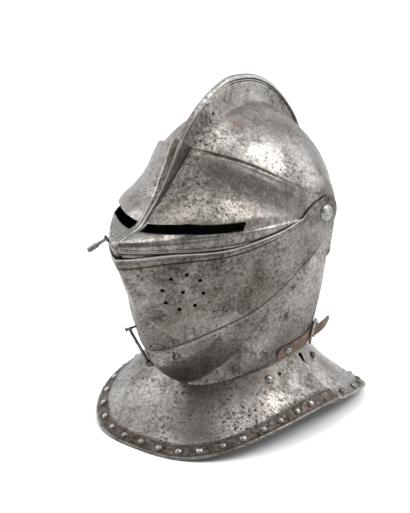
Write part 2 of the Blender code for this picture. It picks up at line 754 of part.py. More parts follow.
# The peg that lifts the visor, on its right cheek just above the upper bevor.
peg_at, peg_out = on_plate(visor_form, -3.0, 0.0320, side=-1, lift=0.0012)
peg_way = Vector((-0.70, -0.40, -0.59))
peg = turned("lifting_peg", [
    (0, PEG_LENGTH), (PEG * 1.2, PEG_LENGTH), (PEG * 1.5, PEG_LENGTH - 0.002), (PEG * 1.3, PEG_LENGTH - 0.006),
    (PEG * 0.85, PEG_LENGTH - 0.008), (PEG, 0.0035), (PEG * 1.9, 0.0030), (PEG * 1.9, 0.0022),
], peg_at, peg_way, 8, "steel")

# The hook on the right that locks the upper bevor to the lower one, its rivet and its stud.
HOOK_ANGLE = -47.5
HOOK_X = 0.0140
STUD_ANGLE = -36.5
STUD_X = 0.0235
HOOK_EYE = 0.0038
hook_base, hook_out = seat_on(bevor, on_plate(bevor_form, HOOK_ANGLE, HOOK_X, -1, 0.001)[0])
stud_base, stud_out = seat_on(ventail, on_plate(ventail_form, STUD_ANGLE, STUD_X, -1, 0.001)[0])


def tube(name, points, radius, material, cyclic=False, sides=6):
    """A round rod along a line of points, closed in a ring if cyclic, else with flat ends."""
    points = [Vector(point) for point in points]
    count = len(points)
    ways = []
    for n in range(count):
        before = points[n - 1] if cyclic or n else points[n]
        after = points[(n + 1) % count] if cyclic or n < count - 1 else points[n]
        ways.append((after - before).normalized())
    side = ways[0].orthogonal().normalized()
    work = bmesh.new()
    rings = []
    for n, point in enumerate(points):
        side = (side - ways[n] * side.dot(ways[n])).normalized()
        over = ways[n].cross(side)
        rings.append([work.verts.new(point + (side * math.cos(2 * math.pi * k / sides)
                                              + over * math.sin(2 * math.pi * k / sides)) * radius)
                      for k in range(sides)])
    for n in range(count if cyclic else count - 1):
        first, second = rings[n], rings[(n + 1) % count]
        slip = min(range(sides), key=lambda k: (second[k].co - first[0].co).length) if n == count - 1 else 0
        for k in range(sides):
            m = (k + 1) % sides
            work.faces.new((first[k], first[m], second[(m + slip) % sides], second[(k + slip) % sides]))
    if not cyclic:
        work.faces.new(rings[0][::-1])
        work.faces.new(rings[-1])
    bmesh.ops.recalc_face_normals(work, faces=work.faces)
    mesh = bpy.data.meshes.new(name)
    work.to_mesh(mesh)
    work.free()
    smooth_faces(mesh)
    return new_object(name, mesh, material)


CROOK_LIFT = 0.0050         # of the crook off the upper bevor, which swells below the stud


def hook_path():
    """The crook round the stud with its mouth up, the straight rod and the eye round the hook's rivet."""
    top = stud_base + stud_out * (ROD + CROOK_LIFT)
    low = hook_base + hook_out * (ROD + FIT * 3)
    way = (top - low).normalized()
    over = way.cross(hook_out).normalized()
    level = hook_out.cross(over).normalized()
    points = []
    for n in range(5):
        turn = math.radians(20 - 30 * n)
        points.append(top + (over * math.cos(turn) + way * math.sin(turn)) * HOOK_EYE)
    for n in range(9):
        turn = math.radians(90 + 36 * n)
        points.append(low + (over * math.cos(turn) + level * math.sin(turn)) * HOOK_EYE)
    return [point - hook_base for point in points]


hook = tube("hook", hook_path(), ROD, "steel")
hook.location = hook_base
rivet("hook_rivet", hook_base + hook_out * (2 * ROD + 4 * FIT), hook_out, HOOK_EYE * 1.15, 0.0018,
      shank=HOLE - FIT, depth=2 * ROD + 8 * FIT + PLATE, tail=HOLE * 2, material="steel")
cut(bevor, cutter_from("hook_hole", [rod_body(hook_base + hook_out * 0.004, hook_base - hook_out * 0.006, HOLE)]))
STUD_HEAD = 0.0032
STUD_TOP = CROOK_LIFT + 2 * ROD + 0.0010
stud = turned("hook_stud", [
    (0, STUD_TOP + 0.0018), (STUD_HEAD * 0.7, STUD_TOP + 0.0014), (STUD_HEAD, STUD_TOP + 0.0002),
    (HOLE - FIT, STUD_TOP), (HOLE - FIT, -PLATE - FIT), (HOLE * 2, -PLATE - FIT), (HOLE * 2, -PLATE - 0.0012),
], stud_base, stud_out, 8, "steel")
cut(ventail, cutter_from("stud_hole", [rod_body(stud_base + stud_out * 0.004, stud_base - stud_out * 0.006, HOLE)]))

# The strap on the left that keeps the lower bevor shut: riveted to it, run through the buckle, with a free end.
# Rows of the strap's line: distance behind the pivots, drop below them, lift off the lower bevor's face.
STRAP_LINE = (
    (-0.0480, 0.1446, 0.0), (-0.0350, 0.1430, 0.0), (-0.0240, 0.1412, 0.0), (-0.0130, 0.1390, 0.0),
    (-0.0040, 0.1368, 0.0), (0.0030, 0.1350, 0.0006), (0.0085, 0.1335, 0.0034), (0.0150, 0.1316, 0.0066),
    (0.0210, 0.1294, 0.0098), (0.0270, 0.1268, 0.0130),
)


def beside(form, y, z):
    """Half-width of a plate's outer face at a place behind and below the pivots."""
    angle = math.degrees(math.atan2(z, -y))
    across, along = form.bends(angle)
    share = clamp(math.hypot(y, z) / form.reach(angle))
    return form.half_width * (1 - share ** along) ** (1 / across)


def ribbon(name, line, half_width, thickness, material, round_ends=(False, False)):
    """A strap of leather from rows of (middle, across, out): a closed band with square or rounded ends."""
    work = bmesh.new()
    rings = []
    for n, (middle, across, out) in enumerate(line):
        half = half_width
        if (n == 0 and round_ends[0]) or (n == len(line) - 1 and round_ends[1]):
            half = half_width * 0.55
        rings.append([work.verts.new(middle + across * half * a + out * thickness * b)
                      for a, b in ((-1, 0), (1, 0), (1, 1), (-1, 1))])
    for first, second in zip(rings, rings[1:]):
        for n in range(4):
            m = (n + 1) % 4
            work.faces.new((first[n], first[m], second[m], second[n]))
    work.faces.new(rings[0][::-1])
    work.faces.new(rings[-1])
    bmesh.ops.recalc_face_normals(work, faces=work.faces)
    mesh = bpy.data.meshes.new(name)
    work.to_mesh(mesh)
    work.free()
    return new_object(name, mesh, material)


def along_neck(form, rows, lift, half_width):
    """Frames of a band that lies on a plate beside the neck: middle, across and out for each row."""
    frames = []
    for y, drop, rise in rows:
        low, high = beside(form, y, -drop - half_width), beside(form, y, -drop + half_width)
        bottom = Vector((low, y + PIVOT_Y, PIVOT_Z - drop - half_width))
        top = Vector((high, y + PIVOT_Y, PIVOT_Z - drop + half_width))
        across = (top - bottom).normalized()
        ahead = Vector((beside(form, y + 0.004, -drop) - beside(form, y - 0.004, -drop), 0.008, 0)).normalized()
        out = across.cross(ahead)
        out = out if out.x > 0 else -out
        bulge = max(0.0, beside(form, y, -drop) - (low + high) / 2)
        frames.append(((bottom + top) / 2 + out * (lift + rise + bulge + FIT), across, out))
    return frames


strap_frames = along_neck(bevor_form, STRAP_LINE, 0.0, STRAP_WIDTH / 2)
strap = ribbon("strap_front", strap_frames, STRAP_WIDTH / 2, STRAP, "leather", (True, True))
middle, across, out = strap_frames[1]
strap_seat = middle + out * STRAP
rivet("strap_rivet_front", strap_seat, out, 0.0034, 0.0016, shank=HOLE - FIT, depth=STRAP + FIT * 3 + PLATE * 1.2,
      tail=HOLE * 2, material="steel")
strap_drill = cutter_from("strap_hole", [rod_body(strap_seat + out * 0.002, strap_seat - out * 0.009, HOLE)])
cut(strap, strap_drill)
cut(bevor, strap_drill)

# The buckle: a wire frame whose back bar lies in the fold of a short leather chape riveted to the skull.
BUCKLE_FRONT = 0.0005       # of the frame's front bar behind the pivots
BUCKLE_BACK = 0.0135        # of its back bar
BUCKLE_DROP = 0.1338
BUCKLE_HALF = 0.0090        # half its height
front_bar = along_neck(bevor_form, [(BUCKLE_FRONT, BUCKLE_DROP + 0.0025, 0.0)], STRAP + 2 * FIT + WIRE,
                       BUCKLE_HALF)[0]
back_bar = along_neck(skull_form, [(BUCKLE_BACK, BUCKLE_DROP - 0.0015, 0.0)], STRAP + 2 * FIT + WIRE,
                      BUCKLE_HALF)[0]


def buckle_points():
    corners = []
    for bar, order in ((front_bar, 1), (back_bar, -1)):
        for share in (-1.0, -0.80, 0.80, 1.0)[::order]:
            corners.append(bar[0] + bar[1] * BUCKLE_HALF * share)
    front = corners[:4]
    back = corners[4:]
    way = (back_bar[0] - front_bar[0]) * 0.14
    return [front[0] + way, front[1], front[2], front[3] + way, back[0] - way, back[1], back[2], back[3] - way]


buckle = tube("buckle_frame", buckle_points(), WIRE, "steel", cyclic=True)

# The chape: from its rivet forward to the bar, round it and a little way back.
CHAPE_HALF = 0.0055
CHAPE = 0.0012
CHAPE_END = 0.0400


def chape_frames():
    rows = [(CHAPE_END, BUCKLE_DROP - 0.0040), (CHAPE_END - 0.005, BUCKLE_DROP - 0.0036),
            (0.0270, BUCKLE_DROP - 0.0026), (BUCKLE_BACK + 0.004, BUCKLE_DROP - 0.0017)]
    frames = along_neck(skull_form, [(y, drop, 0.0) for y, drop in rows], 0.0, CHAPE_HALF)
    bar, across, out = back_bar
    ahead = out.cross(across).normalized()
    ahead = ahead if ahead.y < 0 else -ahead
    radius = WIRE + FIT
    for turn in (-90, -30, 30, 90):
        spoke = ahead * math.cos(math.radians(turn)) + out * math.sin(math.radians(turn))
        frames.append((bar + spoke * (radius + CHAPE), across, -spoke))
    lip = bar - ahead * 0.0042 + out * (radius + CHAPE)
    frames.append((lip, across, -out))
    return [(m, a, (o if n < 4 else o)) for n, (m, a, o) in enumerate(frames)]


chape = ribbon("strap_rear", chape_frames(), CHAPE_HALF, CHAPE, "leather", (True, False))
middle, across, out = chape_frames()[1]
chape_seat = middle + out * CHAPE
out = seat_on(skull, chape_seat)[1]
rivet("strap_rivet_rear", chape_seat, out, 0.0032, 0.0015, shank=HOLE - FIT, depth=CHAPE + FIT * 6 + PLATE * 1.3,
      tail=HOLE * 2, material="steel")
chape_drill = cutter_from("chape_hole", [rod_body(chape_seat + out * 0.002, chape_seat - out * 0.008, HOLE)])
cut(chape, chape_drill)
cut(skull, chape_drill)

# The prong: from the fold of the chape up through the strap and onto the front bar.
PRONG = 0.0008
bar, across, out = back_bar
ahead = (front_bar[0] - back_bar[0]).normalized()
prong_root = bar + ahead * (WIRE + FIT + CHAPE + FIT + PRONG) - out * 0.0012
prong_tip = front_bar[0] + front_bar[2] * (WIRE + PRONG + 3 * FIT) + ahead * 0.0012
prong = tube("buckle_prong", [prong_root, mix(prong_root, prong_tip, 0.5), prong_tip], PRONG, "steel")
cut(strap, cutter_from("prong_hole", [rod_body(prong_root - ahead * 0.001, prong_tip, PRONG * 2.2)]))

# The gorget's rivets: a large one and an open hole beside the neck in front, small ones behind, and the row that
# holds the lining band in the sunken border. Those of the row are their heads alone.
SIDE_RIVET = (66.0, 0.0163)     # turn and distance down the flare
SIDE_HOLE = (74.0, 0.0151)
NAPE_TURNS = (113, 150, 210, 247)
NAPE_DOWN = 0.0190
SLOT = (97.5, 0.0065, 0.0175, 0.0030)    # turn, from, to, half-width
ROW_FRONT = (19, -84.0, 84.0)            # count, first and last turn
ROW_REAR = (14, 101.0, 259.0)


def gorget_seat(plate, turn, inset, distance, lift=0.001):
    """A place on a gorget plate's outer face and the way out of it."""
    point = gorget_place(on_flare(turn, inset, distance, lift)[0])
    return seat_on(plate, point)


def drilled_rivet(name, plate, turn, inset, distance, radius, height):
    seat, out = gorget_seat(plate, turn, inset, distance)
    rivet(name, seat + out * FIT, out, radius, height, shank=HOLE - FIT, depth=FIT * 2 + PLATE, tail=HOLE * 1.8)
    cut(plate, cutter_from(name + "_hole", [rod_body(seat + out * 0.003, seat - out * 0.004, HOLE)]))


for side, word in ((1, "left"), (-1, "right")):
    drilled_rivet("side_rivet_" + word, gorget_front, side * SIDE_RIVET[0], 0.0, SIDE_RIVET[1], 0.0045, 0.0030)
    seat, out = gorget_seat(gorget_front, side * SIDE_HOLE[0], 0.0, SIDE_HOLE[1])
    cut(gorget_front, cutter_from("side_hole_" + word, [rod_body(seat + out * 0.003, seat - out * 0.004, 0.0019)]))
    slot_turn, slot_from, slot_to, slot_half = SLOT
    upper, out = gorget_seat(gorget_rear, side * slot_turn, UNDER, slot_from)
    lower, out = gorget_seat(gorget_rear, side * slot_turn, UNDER, slot_to)
    over = (lower - upper).cross(out).normalized() * slot_half
    corners = [upper - over, upper + over, lower + over, lower - over]
    points = [corner + out * 0.003 for corner in corners] + [corner - out * 0.005 for corner in corners]
    faces = [(0, 1, 2, 3), (7, 6, 5, 4)] + [(n, n + 4, (n + 1) % 4 + 4, (n + 1) % 4) for n in range(4)]
    cut(gorget_rear, cutter_from("slot_" + word, [(points, faces)]))
for number, turn in enumerate(NAPE_TURNS, 1):
    drilled_rivet("nape_rivet_%d" % number, gorget_rear, turn, UNDER, NAPE_DOWN, 0.0032, 0.0020)


def border_seat(plate, turn, inset):
    length = flare_lines(turn, inset)[5]
    return gorget_seat(plate, turn, inset, length - (BORDER + BEAD * 1.2) / 2, 0.0005 - SINK)


def border_row(name, plate, row, inset):
    """Rivet heads at equal steps along the sunken border."""
    count, first, last = round(row[0]), row[1], row[2]
    turns = [mix(first, last, n / 200) for n in range(201)]
    places = [border_seat(plate, turn, inset)[0] for turn in turns]
    walked = [0.0]
    for before, after in zip(places, places[1:]):
        walked.append(walked[-1] + (after - before).length)
    for number in range(count):
        wanted = walked[-1] * number / (count - 1)
        nearest = min(range(len(turns)), key=lambda n: abs(walked[n] - wanted))
        seat, out = border_seat(plate, turns[nearest], inset)
        rivet("%s_%02d" % (name, number + 1), seat, out, BORDER_RIVET, 0.0022, sides=6)


border_row("front_border_rivet", gorget_front, ROW_FRONT, 0.0)
border_row("rear_border_rivet", gorget_rear, ROW_REAR, UNDER)

# A small hole through the comb, and the axes that the moving plates turn about.
comb_place = from_pivot(0.0, 0.1145, 58.5)
cut(skull, cutter_from("comb_hole", [rod_body(comb_place + Vector((0.02, 0, 0)), comb_place - Vector((0.02, 0, 0)), 0.0016)]))


def turns_about(name, things):
    """An empty on the pivots' axis that carries its pieces, which keep their places."""
    axis = bpy.data.objects.new(name, None)
    bpy.context.scene.collection.objects.link(axis)
    axis.location = (0, PIVOT_Y, PIVOT_Z)
    for thing in things:
        thing.parent = axis
        thing.matrix_parent_inverse = Matrix.Translation(-axis.location)


turns_about("ventail_axis", (ventail, stud))
turns_about("visor_axis", (visor, peg))
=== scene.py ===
import math

import bmesh
import bpy
from mathutils import Matrix, Vector, noise
from mathutils.bvhtree import BVHTree


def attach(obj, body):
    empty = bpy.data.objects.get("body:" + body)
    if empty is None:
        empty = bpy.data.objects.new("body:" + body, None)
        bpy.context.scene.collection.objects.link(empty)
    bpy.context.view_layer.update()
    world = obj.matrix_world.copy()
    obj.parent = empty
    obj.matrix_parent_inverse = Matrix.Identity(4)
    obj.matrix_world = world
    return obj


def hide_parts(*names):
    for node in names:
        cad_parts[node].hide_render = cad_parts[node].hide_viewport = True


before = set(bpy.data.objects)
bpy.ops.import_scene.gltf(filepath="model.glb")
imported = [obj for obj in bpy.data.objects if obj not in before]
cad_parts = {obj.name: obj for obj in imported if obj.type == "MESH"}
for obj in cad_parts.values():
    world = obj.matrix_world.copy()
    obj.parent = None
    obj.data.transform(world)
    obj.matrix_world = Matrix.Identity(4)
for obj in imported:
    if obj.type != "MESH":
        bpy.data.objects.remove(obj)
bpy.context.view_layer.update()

# The camera stands a little above the helmet, off its left front, as the photograph's did. A long lens from
# 1.8 metres keeps the plates' lines nearly parallel. Its place is given from the helmet's pivots.
PIVOT_Y = 0.038545
PIVOT_Z = 0.2275
CAMERA_FROM_PIVOTS = Vector((1.1063, -1.3855, 0.5747))
LENS_MM = 126.32
SENSOR_MM = 36.0
camera_right = Vector((0.76604, 0.64279, 0.0))
camera_back = Vector((0.60402, -0.71985, 0.34202))
camera_up = camera_back.cross(camera_right)
camera_data = bpy.data.cameras.new("camera")
camera_data.lens = LENS_MM
camera_data.sensor_width = SENSOR_MM
camera = bpy.data.objects.new("camera", camera_data)
bpy.context.scene.collection.objects.link(camera)
camera.rotation_mode = "QUATERNION"
camera.rotation_quaternion = Matrix((camera_right, camera_up, camera_back)).transposed().to_quaternion()
camera.location = CAMERA_FROM_PIVOTS + Vector((0, PIVOT_Y, PIVOT_Z))
bpy.context.scene.camera = camera
bpy.context.scene.view_settings.view_transform = "Standard"

# The studio: a white floor that runs out of sight, a bright sky with a dim band low down that the steel
# mirrors, two large soft lamps high up and a smaller one low on the left.
FLOOR_HALF = 6
FLOOR_DROP = 0.0004  # of the paper below the helmet's rim
PAPER_WHITE = 0.93
SKY_TINT = (0.965, 0.985, 1.0)
floor_mesh = bpy.data.meshes.new("studio_floor")
floor_mesh.from_pydata([(FLOOR_HALF * x, FLOOR_HALF * y, 0) for x, y in ((-1, -1), (1, -1), (1, 1), (-1, 1))],
                       [], [(0, 1, 2, 3)])
floor = bpy.data.objects.new("studio_floor", floor_mesh)
bpy.context.scene.collection.objects.link(floor)
floor.location.z = -FLOOR_DROP
floor_paint = bpy.data.materials.new("white_paper")
floor_paint.use_nodes = True
floor_shader = floor_paint.node_tree.nodes["Principled BSDF"]
floor_shader.inputs["Base Color"].default_value = (PAPER_WHITE, PAPER_WHITE, PAPER_WHITE, 1)
floor_shader.inputs["Roughness"].default_value = 0.9
floor_shader.inputs["Specular IOR Level"].default_value = 0.1
floor_mesh.materials.append(floor_paint)

sky = bpy.data.worlds.new("studio_sky")
sky.use_nodes = True
bpy.context.scene.world = sky
sky_nodes = sky.node_tree.nodes
sky_links = sky.node_tree.links
background = sky_nodes["Background"]
direction = sky_nodes.new("ShaderNodeTexCoord")


def sky_share(way, rows):
    """A grey that depends on how far a direction points along a way: rows of (share, grey)."""
    dot = sky_nodes.new("ShaderNodeVectorMath")
    dot.operation = "DOT_PRODUCT"
    dot.inputs[1].default_value = Vector(way).normalized()
    sky_links.new(direction.outputs["Generated"], dot.inputs[0])
    lift = sky_nodes.new("ShaderNodeMapRange")
    lift.inputs["From Min"].default_value = -1.0
    sky_links.new(dot.outputs["Value"], lift.inputs["Value"])
    ramp = sky_nodes.new("ShaderNodeValToRGB")
    for place, grey in rows[2:]:
        ramp.color_ramp.elements.new(place)
    for stop, (place, grey) in zip(ramp.color_ramp.elements, rows):
        stop.position = place
        stop.color = (*(grey * tint for tint in SKY_TINT), 1)
    sky_links.new(lift.outputs["Result"], ramp.inputs["Fac"])
    return ramp.outputs["Color"]


def sky_sum(first, second):
    node = sky_nodes.new("ShaderNodeMix")
    node.data_type = "RGBA"
    node.blend_type = "ADD"
    node.inputs["Factor"].default_value = 1.0
    sky_links.new(first, node.inputs["A"])
    sky_links.new(second, node.inputs["B"])
    return node.outputs["Result"]


# Dim behind the camera, bright to both sides of the helmet and overhead.
dim_front = sky_share((0.60, -0.72, 0.10), (
    (0.0, 1.0), (0.28, 0.85), (0.50, 0.48), (0.70, 0.27), (0.86, 0.14), (1.0, 0.11)))
overhead = sky_share((0.15, 0.10, 1.0), ((0.0, 0.35), (0.60, 0.0), (0.82, 0.10), (0.93, 0.50), (1.0, 0.62)))
right_box = sky_share((0.82, 0.82, 0.42), ((0.0, 0.0), (0.90, 0.0), (0.955, 1.2), (1.0, 1.7)))
left_box = sky_share((-0.95, -0.35, 0.30), ((0.0, 0.0), (0.86, 0.0), (0.94, 0.55), (1.0, 0.8)))
studio_grey = sky_sum(sky_sum(sky_sum(dim_front, overhead), right_box), left_box)
# The camera itself sees plain white behind the helmet; only the steel sees the studio.
seen = sky_nodes.new("ShaderNodeLightPath")
paper = sky_nodes.new("ShaderNodeMix")
paper.data_type = "RGBA"
paper.inputs["B"].default_value = (1.0, 1.0, 1.0, 1)
sky_links.new(seen.outputs["Is Camera Ray"], paper.inputs["Factor"])
sky_links.new(studio_grey, paper.inputs["A"])
sky_links.new(paper.outputs["Result"], background.inputs["Color"])
background.inputs["Strength"].default_value = 1.0


def soft_lamp(name, place, aim, width, height, power):
    """A flat rectangular studio lamp that faces a point."""
    data = bpy.data.lights.new(name, "AREA")
    data.shape = "RECTANGLE"
    data.size = width
    data.size_y = height
    data.energy = power
    lamp = bpy.data.objects.new(name, data)
    bpy.context.scene.collection.objects.link(lamp)
    lamp.location = place
    lamp.rotation_euler = (Vector(place) - Vector(aim)).to_track_quat("Z", "Y").to_euler()


soft_lamp("key_lamp", (1.3, 0.55, 1.9), (0, 0, 0.25), 1.1, 1.1, 26)
soft_lamp("top_lamp", (-0.3, -0.2, 2.2), (0, 0, 0.2), 1.6, 1.6, 26)
soft_lamp("far_lamp", (-1.7, -0.9, 1.0), (0, 0, 0.2), 0.9, 1.4, 14)

# The skull with its comb: one piece of steel raised to a tall thin crest, aged grey-brown with dark pits and
# rubbed bright on the comb and behind, with painted highlights there too. Its crest is a roll with two lines
# cut inside it, and the crease at the comb's foot is painted dark as painted shade.
PLATE = 0.0014  # thickness of the steel
GAP = 0.0009  # between plates that slide over each other
LAYER = PLATE + GAP
FIT = 0.0003
HALF_WIDTH = 0.0950  # of the skull, at the pivots
DOME_RADIUS = 0.1020  # of the skull above the pivots, without the comb
COMB_RADIUS = 0.1335  # of the comb's crest about the pivots
COMB_BASE = 0.0070  # half the comb's width at its foot
COMB_HOLE = (0.1145, 58.5)  # distance and angle of the hole through the comb
BEAK_REACH = 0.2020  # of the upper bevor's point, forward of the pivots
NECK_CENTRE = -0.0200  # of the neck opening, forward of the pivots when negative
NECK_WIDTH = 0.0820
NECK_FRONT = 0.0860
NECK_BACK = 0.0760
NECK_DROP = 0.1500  # of the neck line at sides and back, below the pivots
CHIN_DROP = 0.0280  # further down under the chin
CHIN_CURVE = 2.2
DISC = 0.0180  # radius of the plates' round ends at the pivots
PIVOT_HOLE = 0.0034
HOLE = 0.0016  # radius of the small holes
BEVOR_WIDTH, VISOR_WIDTH, VENTAIL_WIDTH = (HALF_WIDTH + n * LAYER for n in (1, 2, 3))
DOME_BEND = (1.64, 1.96)  # of the section, across and along: two makes an ellipse
PROW_BEND = (1.25, 1.95)
FULL_BEND = 2.50  # across, for the visor's full cheeks
FULL_FROM = 0.25  # share of the way out where they begin
FULL_SPAN = 0.60
SKULL_LOWEST = 8  # angle of the skull's edge in front
PROW_LOWEST = -75  # angle at which a plate over the skull stops keeping clear of it
ROW_BUNCHING = 1.45  # above one, rows stand closer near the pivot
# Skull outline: angle, share of the dome's radius. Comb outline: angle, share of the comb's radius.
SKULL_REACH = (
    (8, 1.225), (24, 1.195), (36, 1.165), (50, 1.10), (62, 1.045), (75, 1.0), (90, 0.962), (110, 0.905),
    (135, 0.850), (160, 0.822), (180, 0.822), (200, 0.870), (218, 1.00), (234, 1.23),
)
COMB_REACH = (
    (10, 1.0), (40, 1.0), (74, 0.998), (84, 0.968), (95, 0.930), (106, 0.882), (119, 0.824),
    (132, 0.786), (149, 0.753), (165, 0.725), (180, 0.670), (192, 0.650),
)


def clamp(value, low=0.0, high=1.0):
    return max(low, min(high, value))


def mix(first, second, share):
    return first + (second - first) * share


def ease(share):
    share = clamp(share)
    return share * share * (3 - 2 * share)


def bell(value, centre, width):
    """One at the centre, falling smoothly to nothing a width away."""
    return ease(1 - abs(value - centre) / width)


def curve(rows):
    """A smooth function through the rows (x, y), flat beyond its ends."""
    rows = sorted(rows)
    xs = [row[0] for row in rows]
    ys = [row[1] for row in rows]
    steps = [(ys[i + 1] - ys[i]) / (xs[i + 1] - xs[i]) for i in range(len(xs) - 1)]
    slopes = [steps[0]]
    for before, after in zip(steps, steps[1:]):
        slopes.append(0.0 if before * after <= 0 else 2 * before * after / (before + after))
    slopes.append(steps[-1])

    def at(x):
        x = clamp(x, xs[0], xs[-1])
        i = 0
        while i < len(xs) - 2 and x > xs[i + 1]:
            i += 1
        width = xs[i + 1] - xs[i]
        t = (x - xs[i]) / width
        return ((2 * t ** 3 - 3 * t ** 2 + 1) * ys[i] + (t ** 3 - 2 * t ** 2 + t) * width * slopes[i]
                + (3 * t ** 2 - 2 * t ** 3) * ys[i + 1] + (t ** 3 - t ** 2) * width * slopes[i + 1])

    return at


def from_pivot(x, distance, angle):
    """A point in the frame, from its place about the pivot axis."""
    turn = math.radians(angle)
    return Vector((x, PIVOT_Y - distance * math.cos(turn), PIVOT_Z + distance * math.sin(turn)))


def neck_point(turn, inset=0.0):
    """The neck line at a turn round the neck from the front, about the pivots."""
    turn = math.radians(turn)
    length = (NECK_FRONT if math.cos(turn) > 0 else NECK_BACK) - inset
    x = (NECK_WIDTH - inset) * math.sin(turn)
    y = NECK_CENTRE - length * math.cos(turn)
    low = clamp((NECK_CENTRE - y) / NECK_FRONT)
    return x, y, -NECK_DROP - CHIN_DROP * low ** CHIN_CURVE


prow_share = curve(((-62, 0.0), (-46, 0.32), (-33, 0.55), (-15, 0.85), (-4, 1.0), (5, 1.0), (34, 0.0)))
full_share = curve((
    (37, 0.0), (28, 0.03), (20, 0.18), (12, 0.60), (7, 0.93), (4, 0.96), (2.6, 0.88), (1.4, 0.49),
    (0.6, 0.18), (-0.4, 0.0),
))


class PlateForm:
    """The outer face of one plate of the head, drawn about the pivots."""

    def __init__(self, half_width, outline, corner, inset, prow=True, full=False):
        self.half_width = half_width
        self.full = full
        self.prow = prow
        self.inset = inset
        rows = []
        for step in range(0, 181, 6):
            x, y, z = neck_point(step, inset)
            angle = math.degrees(math.atan2(z, -y))
            across, along = self.bends(angle)
            share = (1 - (x / half_width) ** across) ** (1 / along) if step % 180 else 1.0
            rows.append((angle, math.hypot(y, z) / share, x))
        front, back = rows[0], rows[-1]
        self.neck_reach = curve([(row[0], row[1]) for row in rows])
        self.neck_x = curve([(row[0], row[2]) for row in rows])
        self.front_corner = front[0]
        self.back_corner = back[0] + 360
        end = {"front": [(front[0], front[1])], "back": [(self.back_corner, back[1])]}
        self.outline = curve(list(outline) + end.get(corner, []))

    def bends(self, angle, out=1.0):
        """How full the section is, across and along, at an angle and a share of the way out."""
        share = prow_share(angle) if self.prow else 0.0
        across = mix(DOME_BEND[0], PROW_BEND[0], share)
        if self.full:
            across = mix(across, FULL_BEND, full_share(angle) * clamp((out - FULL_FROM) / FULL_SPAN))
        return across, mix(DOME_BEND[1], PROW_BEND[1], share)

    def at_neck(self, angle):
        """The angle as the neck line counts it, or None where the plate ends on its outline."""
        if angle > 200:
            angle -= 360
        return angle if self.back_corner - 360 < angle < self.front_corner else None

    def reach(self, angle):
        low = self.at_neck(angle)
        return self.outline(angle) if low is None else self.neck_reach(low)

    def edge_x(self, angle):
        low = self.at_neck(angle)
        return 0.0 if low is None else self.neck_x(low)

    def distance(self, angle, x):
        across, along = self.bends(angle)
        return self.reach(angle) * (1 - clamp(x / self.half_width) ** across) ** (1 / along)

    def turn_at_x(self, angle, x):
        return math.acos(clamp(x / self.half_width) ** (self.bends(angle)[0] / 2))

    def turn_at_distance(self, angle, distance):
        return math.asin(clamp(distance / self.reach(angle)) ** (self.bends(angle)[1] / 2))

    def place(self, angle, turn):
        """Half-width and distance on the section at an angle; turn runs from the pivot to the middle."""
        along = self.bends(angle)[1]
        distance = self.reach(angle) * math.sin(turn) ** (2 / along)
        across = self.bends(angle, distance / self.reach(angle))[0]
        x = self.half_width * max(0.0, math.cos(turn)) ** (2 / across)
        x = self.clear_of_skull(angle, distance, x)
        return mix(self.half_width, x, ease((distance - DISC) / (1.4 * DISC))), distance

    def clear_of_skull(self, angle, distance, x):
        """The half-width, moved out where the plate would come nearer the skull than the gap."""
        if not self.prow or angle < PROW_LOWEST:
            return x
        at = max(angle, SKULL_LOWEST)
        across, along = DOME_BEND
        share = clamp(distance / skull_form.reach(at))
        short = self.half_width * (1 - share ** along) ** (1 / across) - x
        lift = (short + math.hypot(short, GAP)) / 2
        return x + lift * (1 - ease((share - 0.80) / 0.19)) * ease((angle - PROW_LOWEST) / 20)


def in_metres(rows, size):
    return [(angle, share * size) for angle, share in rows]


skull_form = PlateForm(HALF_WIDTH, in_metres(SKULL_REACH, DOME_RADIUS), "back", LAYER + FIT * 2, prow=False)
comb_reach = curve(in_metres(COMB_REACH, COMB_RADIUS))


def new_piece(name, mesh, finish, body, nodes):
    """A finished piece in the place of its plain solids, riding on their body."""
    piece = bpy.data.objects.new(name, mesh)
    bpy.context.scene.collection.objects.link(piece)
    mesh.materials.append(finish)
    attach(piece, body)
    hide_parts(*nodes)
    return piece


def mesh_from(work, name, sharp=None):
    """The mesh of a bmesh, smooth but for edges sharper than an angle, or flat where none is given."""
    mesh = bpy.data.meshes.new(name)
    work.to_mesh(mesh)
    work.free()
    if sharp is not None:
        mesh.shade_smooth()
        mesh.set_sharp_from_angle(angle=math.radians(sharp))
    return mesh


def hammered(point, depth):
    """The slight unevenness that the hammer leaves, as a height."""
    return depth * (noise.noise(point * 26) + 0.5 * noise.noise(point * 61))


DENT = 0.00022  # depth of the hammer's marks on the head
LINE_DEPTH = 0.0005  # depth at which a sunken line is painted fully dark
WORN_FROM = 0.0002  # height at which a raised line begins to be rubbed bright
WORN_SPAN = 0.0004


def steel_sheet(name, half_points, faces, relief, dirt_shade_and_sheen):
    """Both halves of a plate welded at the middle, its outer face worked by the relief and the hammer."""
    work = bmesh.new()
    height = work.verts.layers.float.new("height")
    grime_and_shade = work.verts.layers.float.new("dirt_shade_and_sheen")
    for side in (1, -1):
        verts = []
        for point, rise, stain_and_shade in zip(half_points, relief, dirt_shade_and_sheen):
            vert = work.verts.new((side * point.x, point.y, point.z))
            vert[height] = rise
            # Sunken lines are painted darker and raised lines lighter as rubbed wear, unless the row gives
            # its own figure; the comb's foot crease is given one as painted shade.
            vert[grime_and_shade] = stain_and_shade or clamp(-rise / LINE_DEPTH) - 0.7 * clamp((rise - WORN_FROM) / WORN_SPAN)
            verts.append(vert)
        for face in faces:
            ring = [verts[i] for i in face]
            work.faces.new(ring if side == 1 else ring[::-1])
    bmesh.ops.remove_doubles(work, verts=work.verts, dist=1e-6)
    work.normal_update()
    moves = []
    for vert in work.verts:
        dent = hammered(vert.co, DENT) * ease(1 - abs(vert[height]) / WORN_SPAN)
        moves.append((vert, vert.normal * (vert[height] + dent)))
    for vert, move in moves:
        flat = Vector((0, move.y, move.z)) if abs(vert.co.x) < 1e-6 else move
        vert.co += flat
    return mesh_from(work, name, 40)


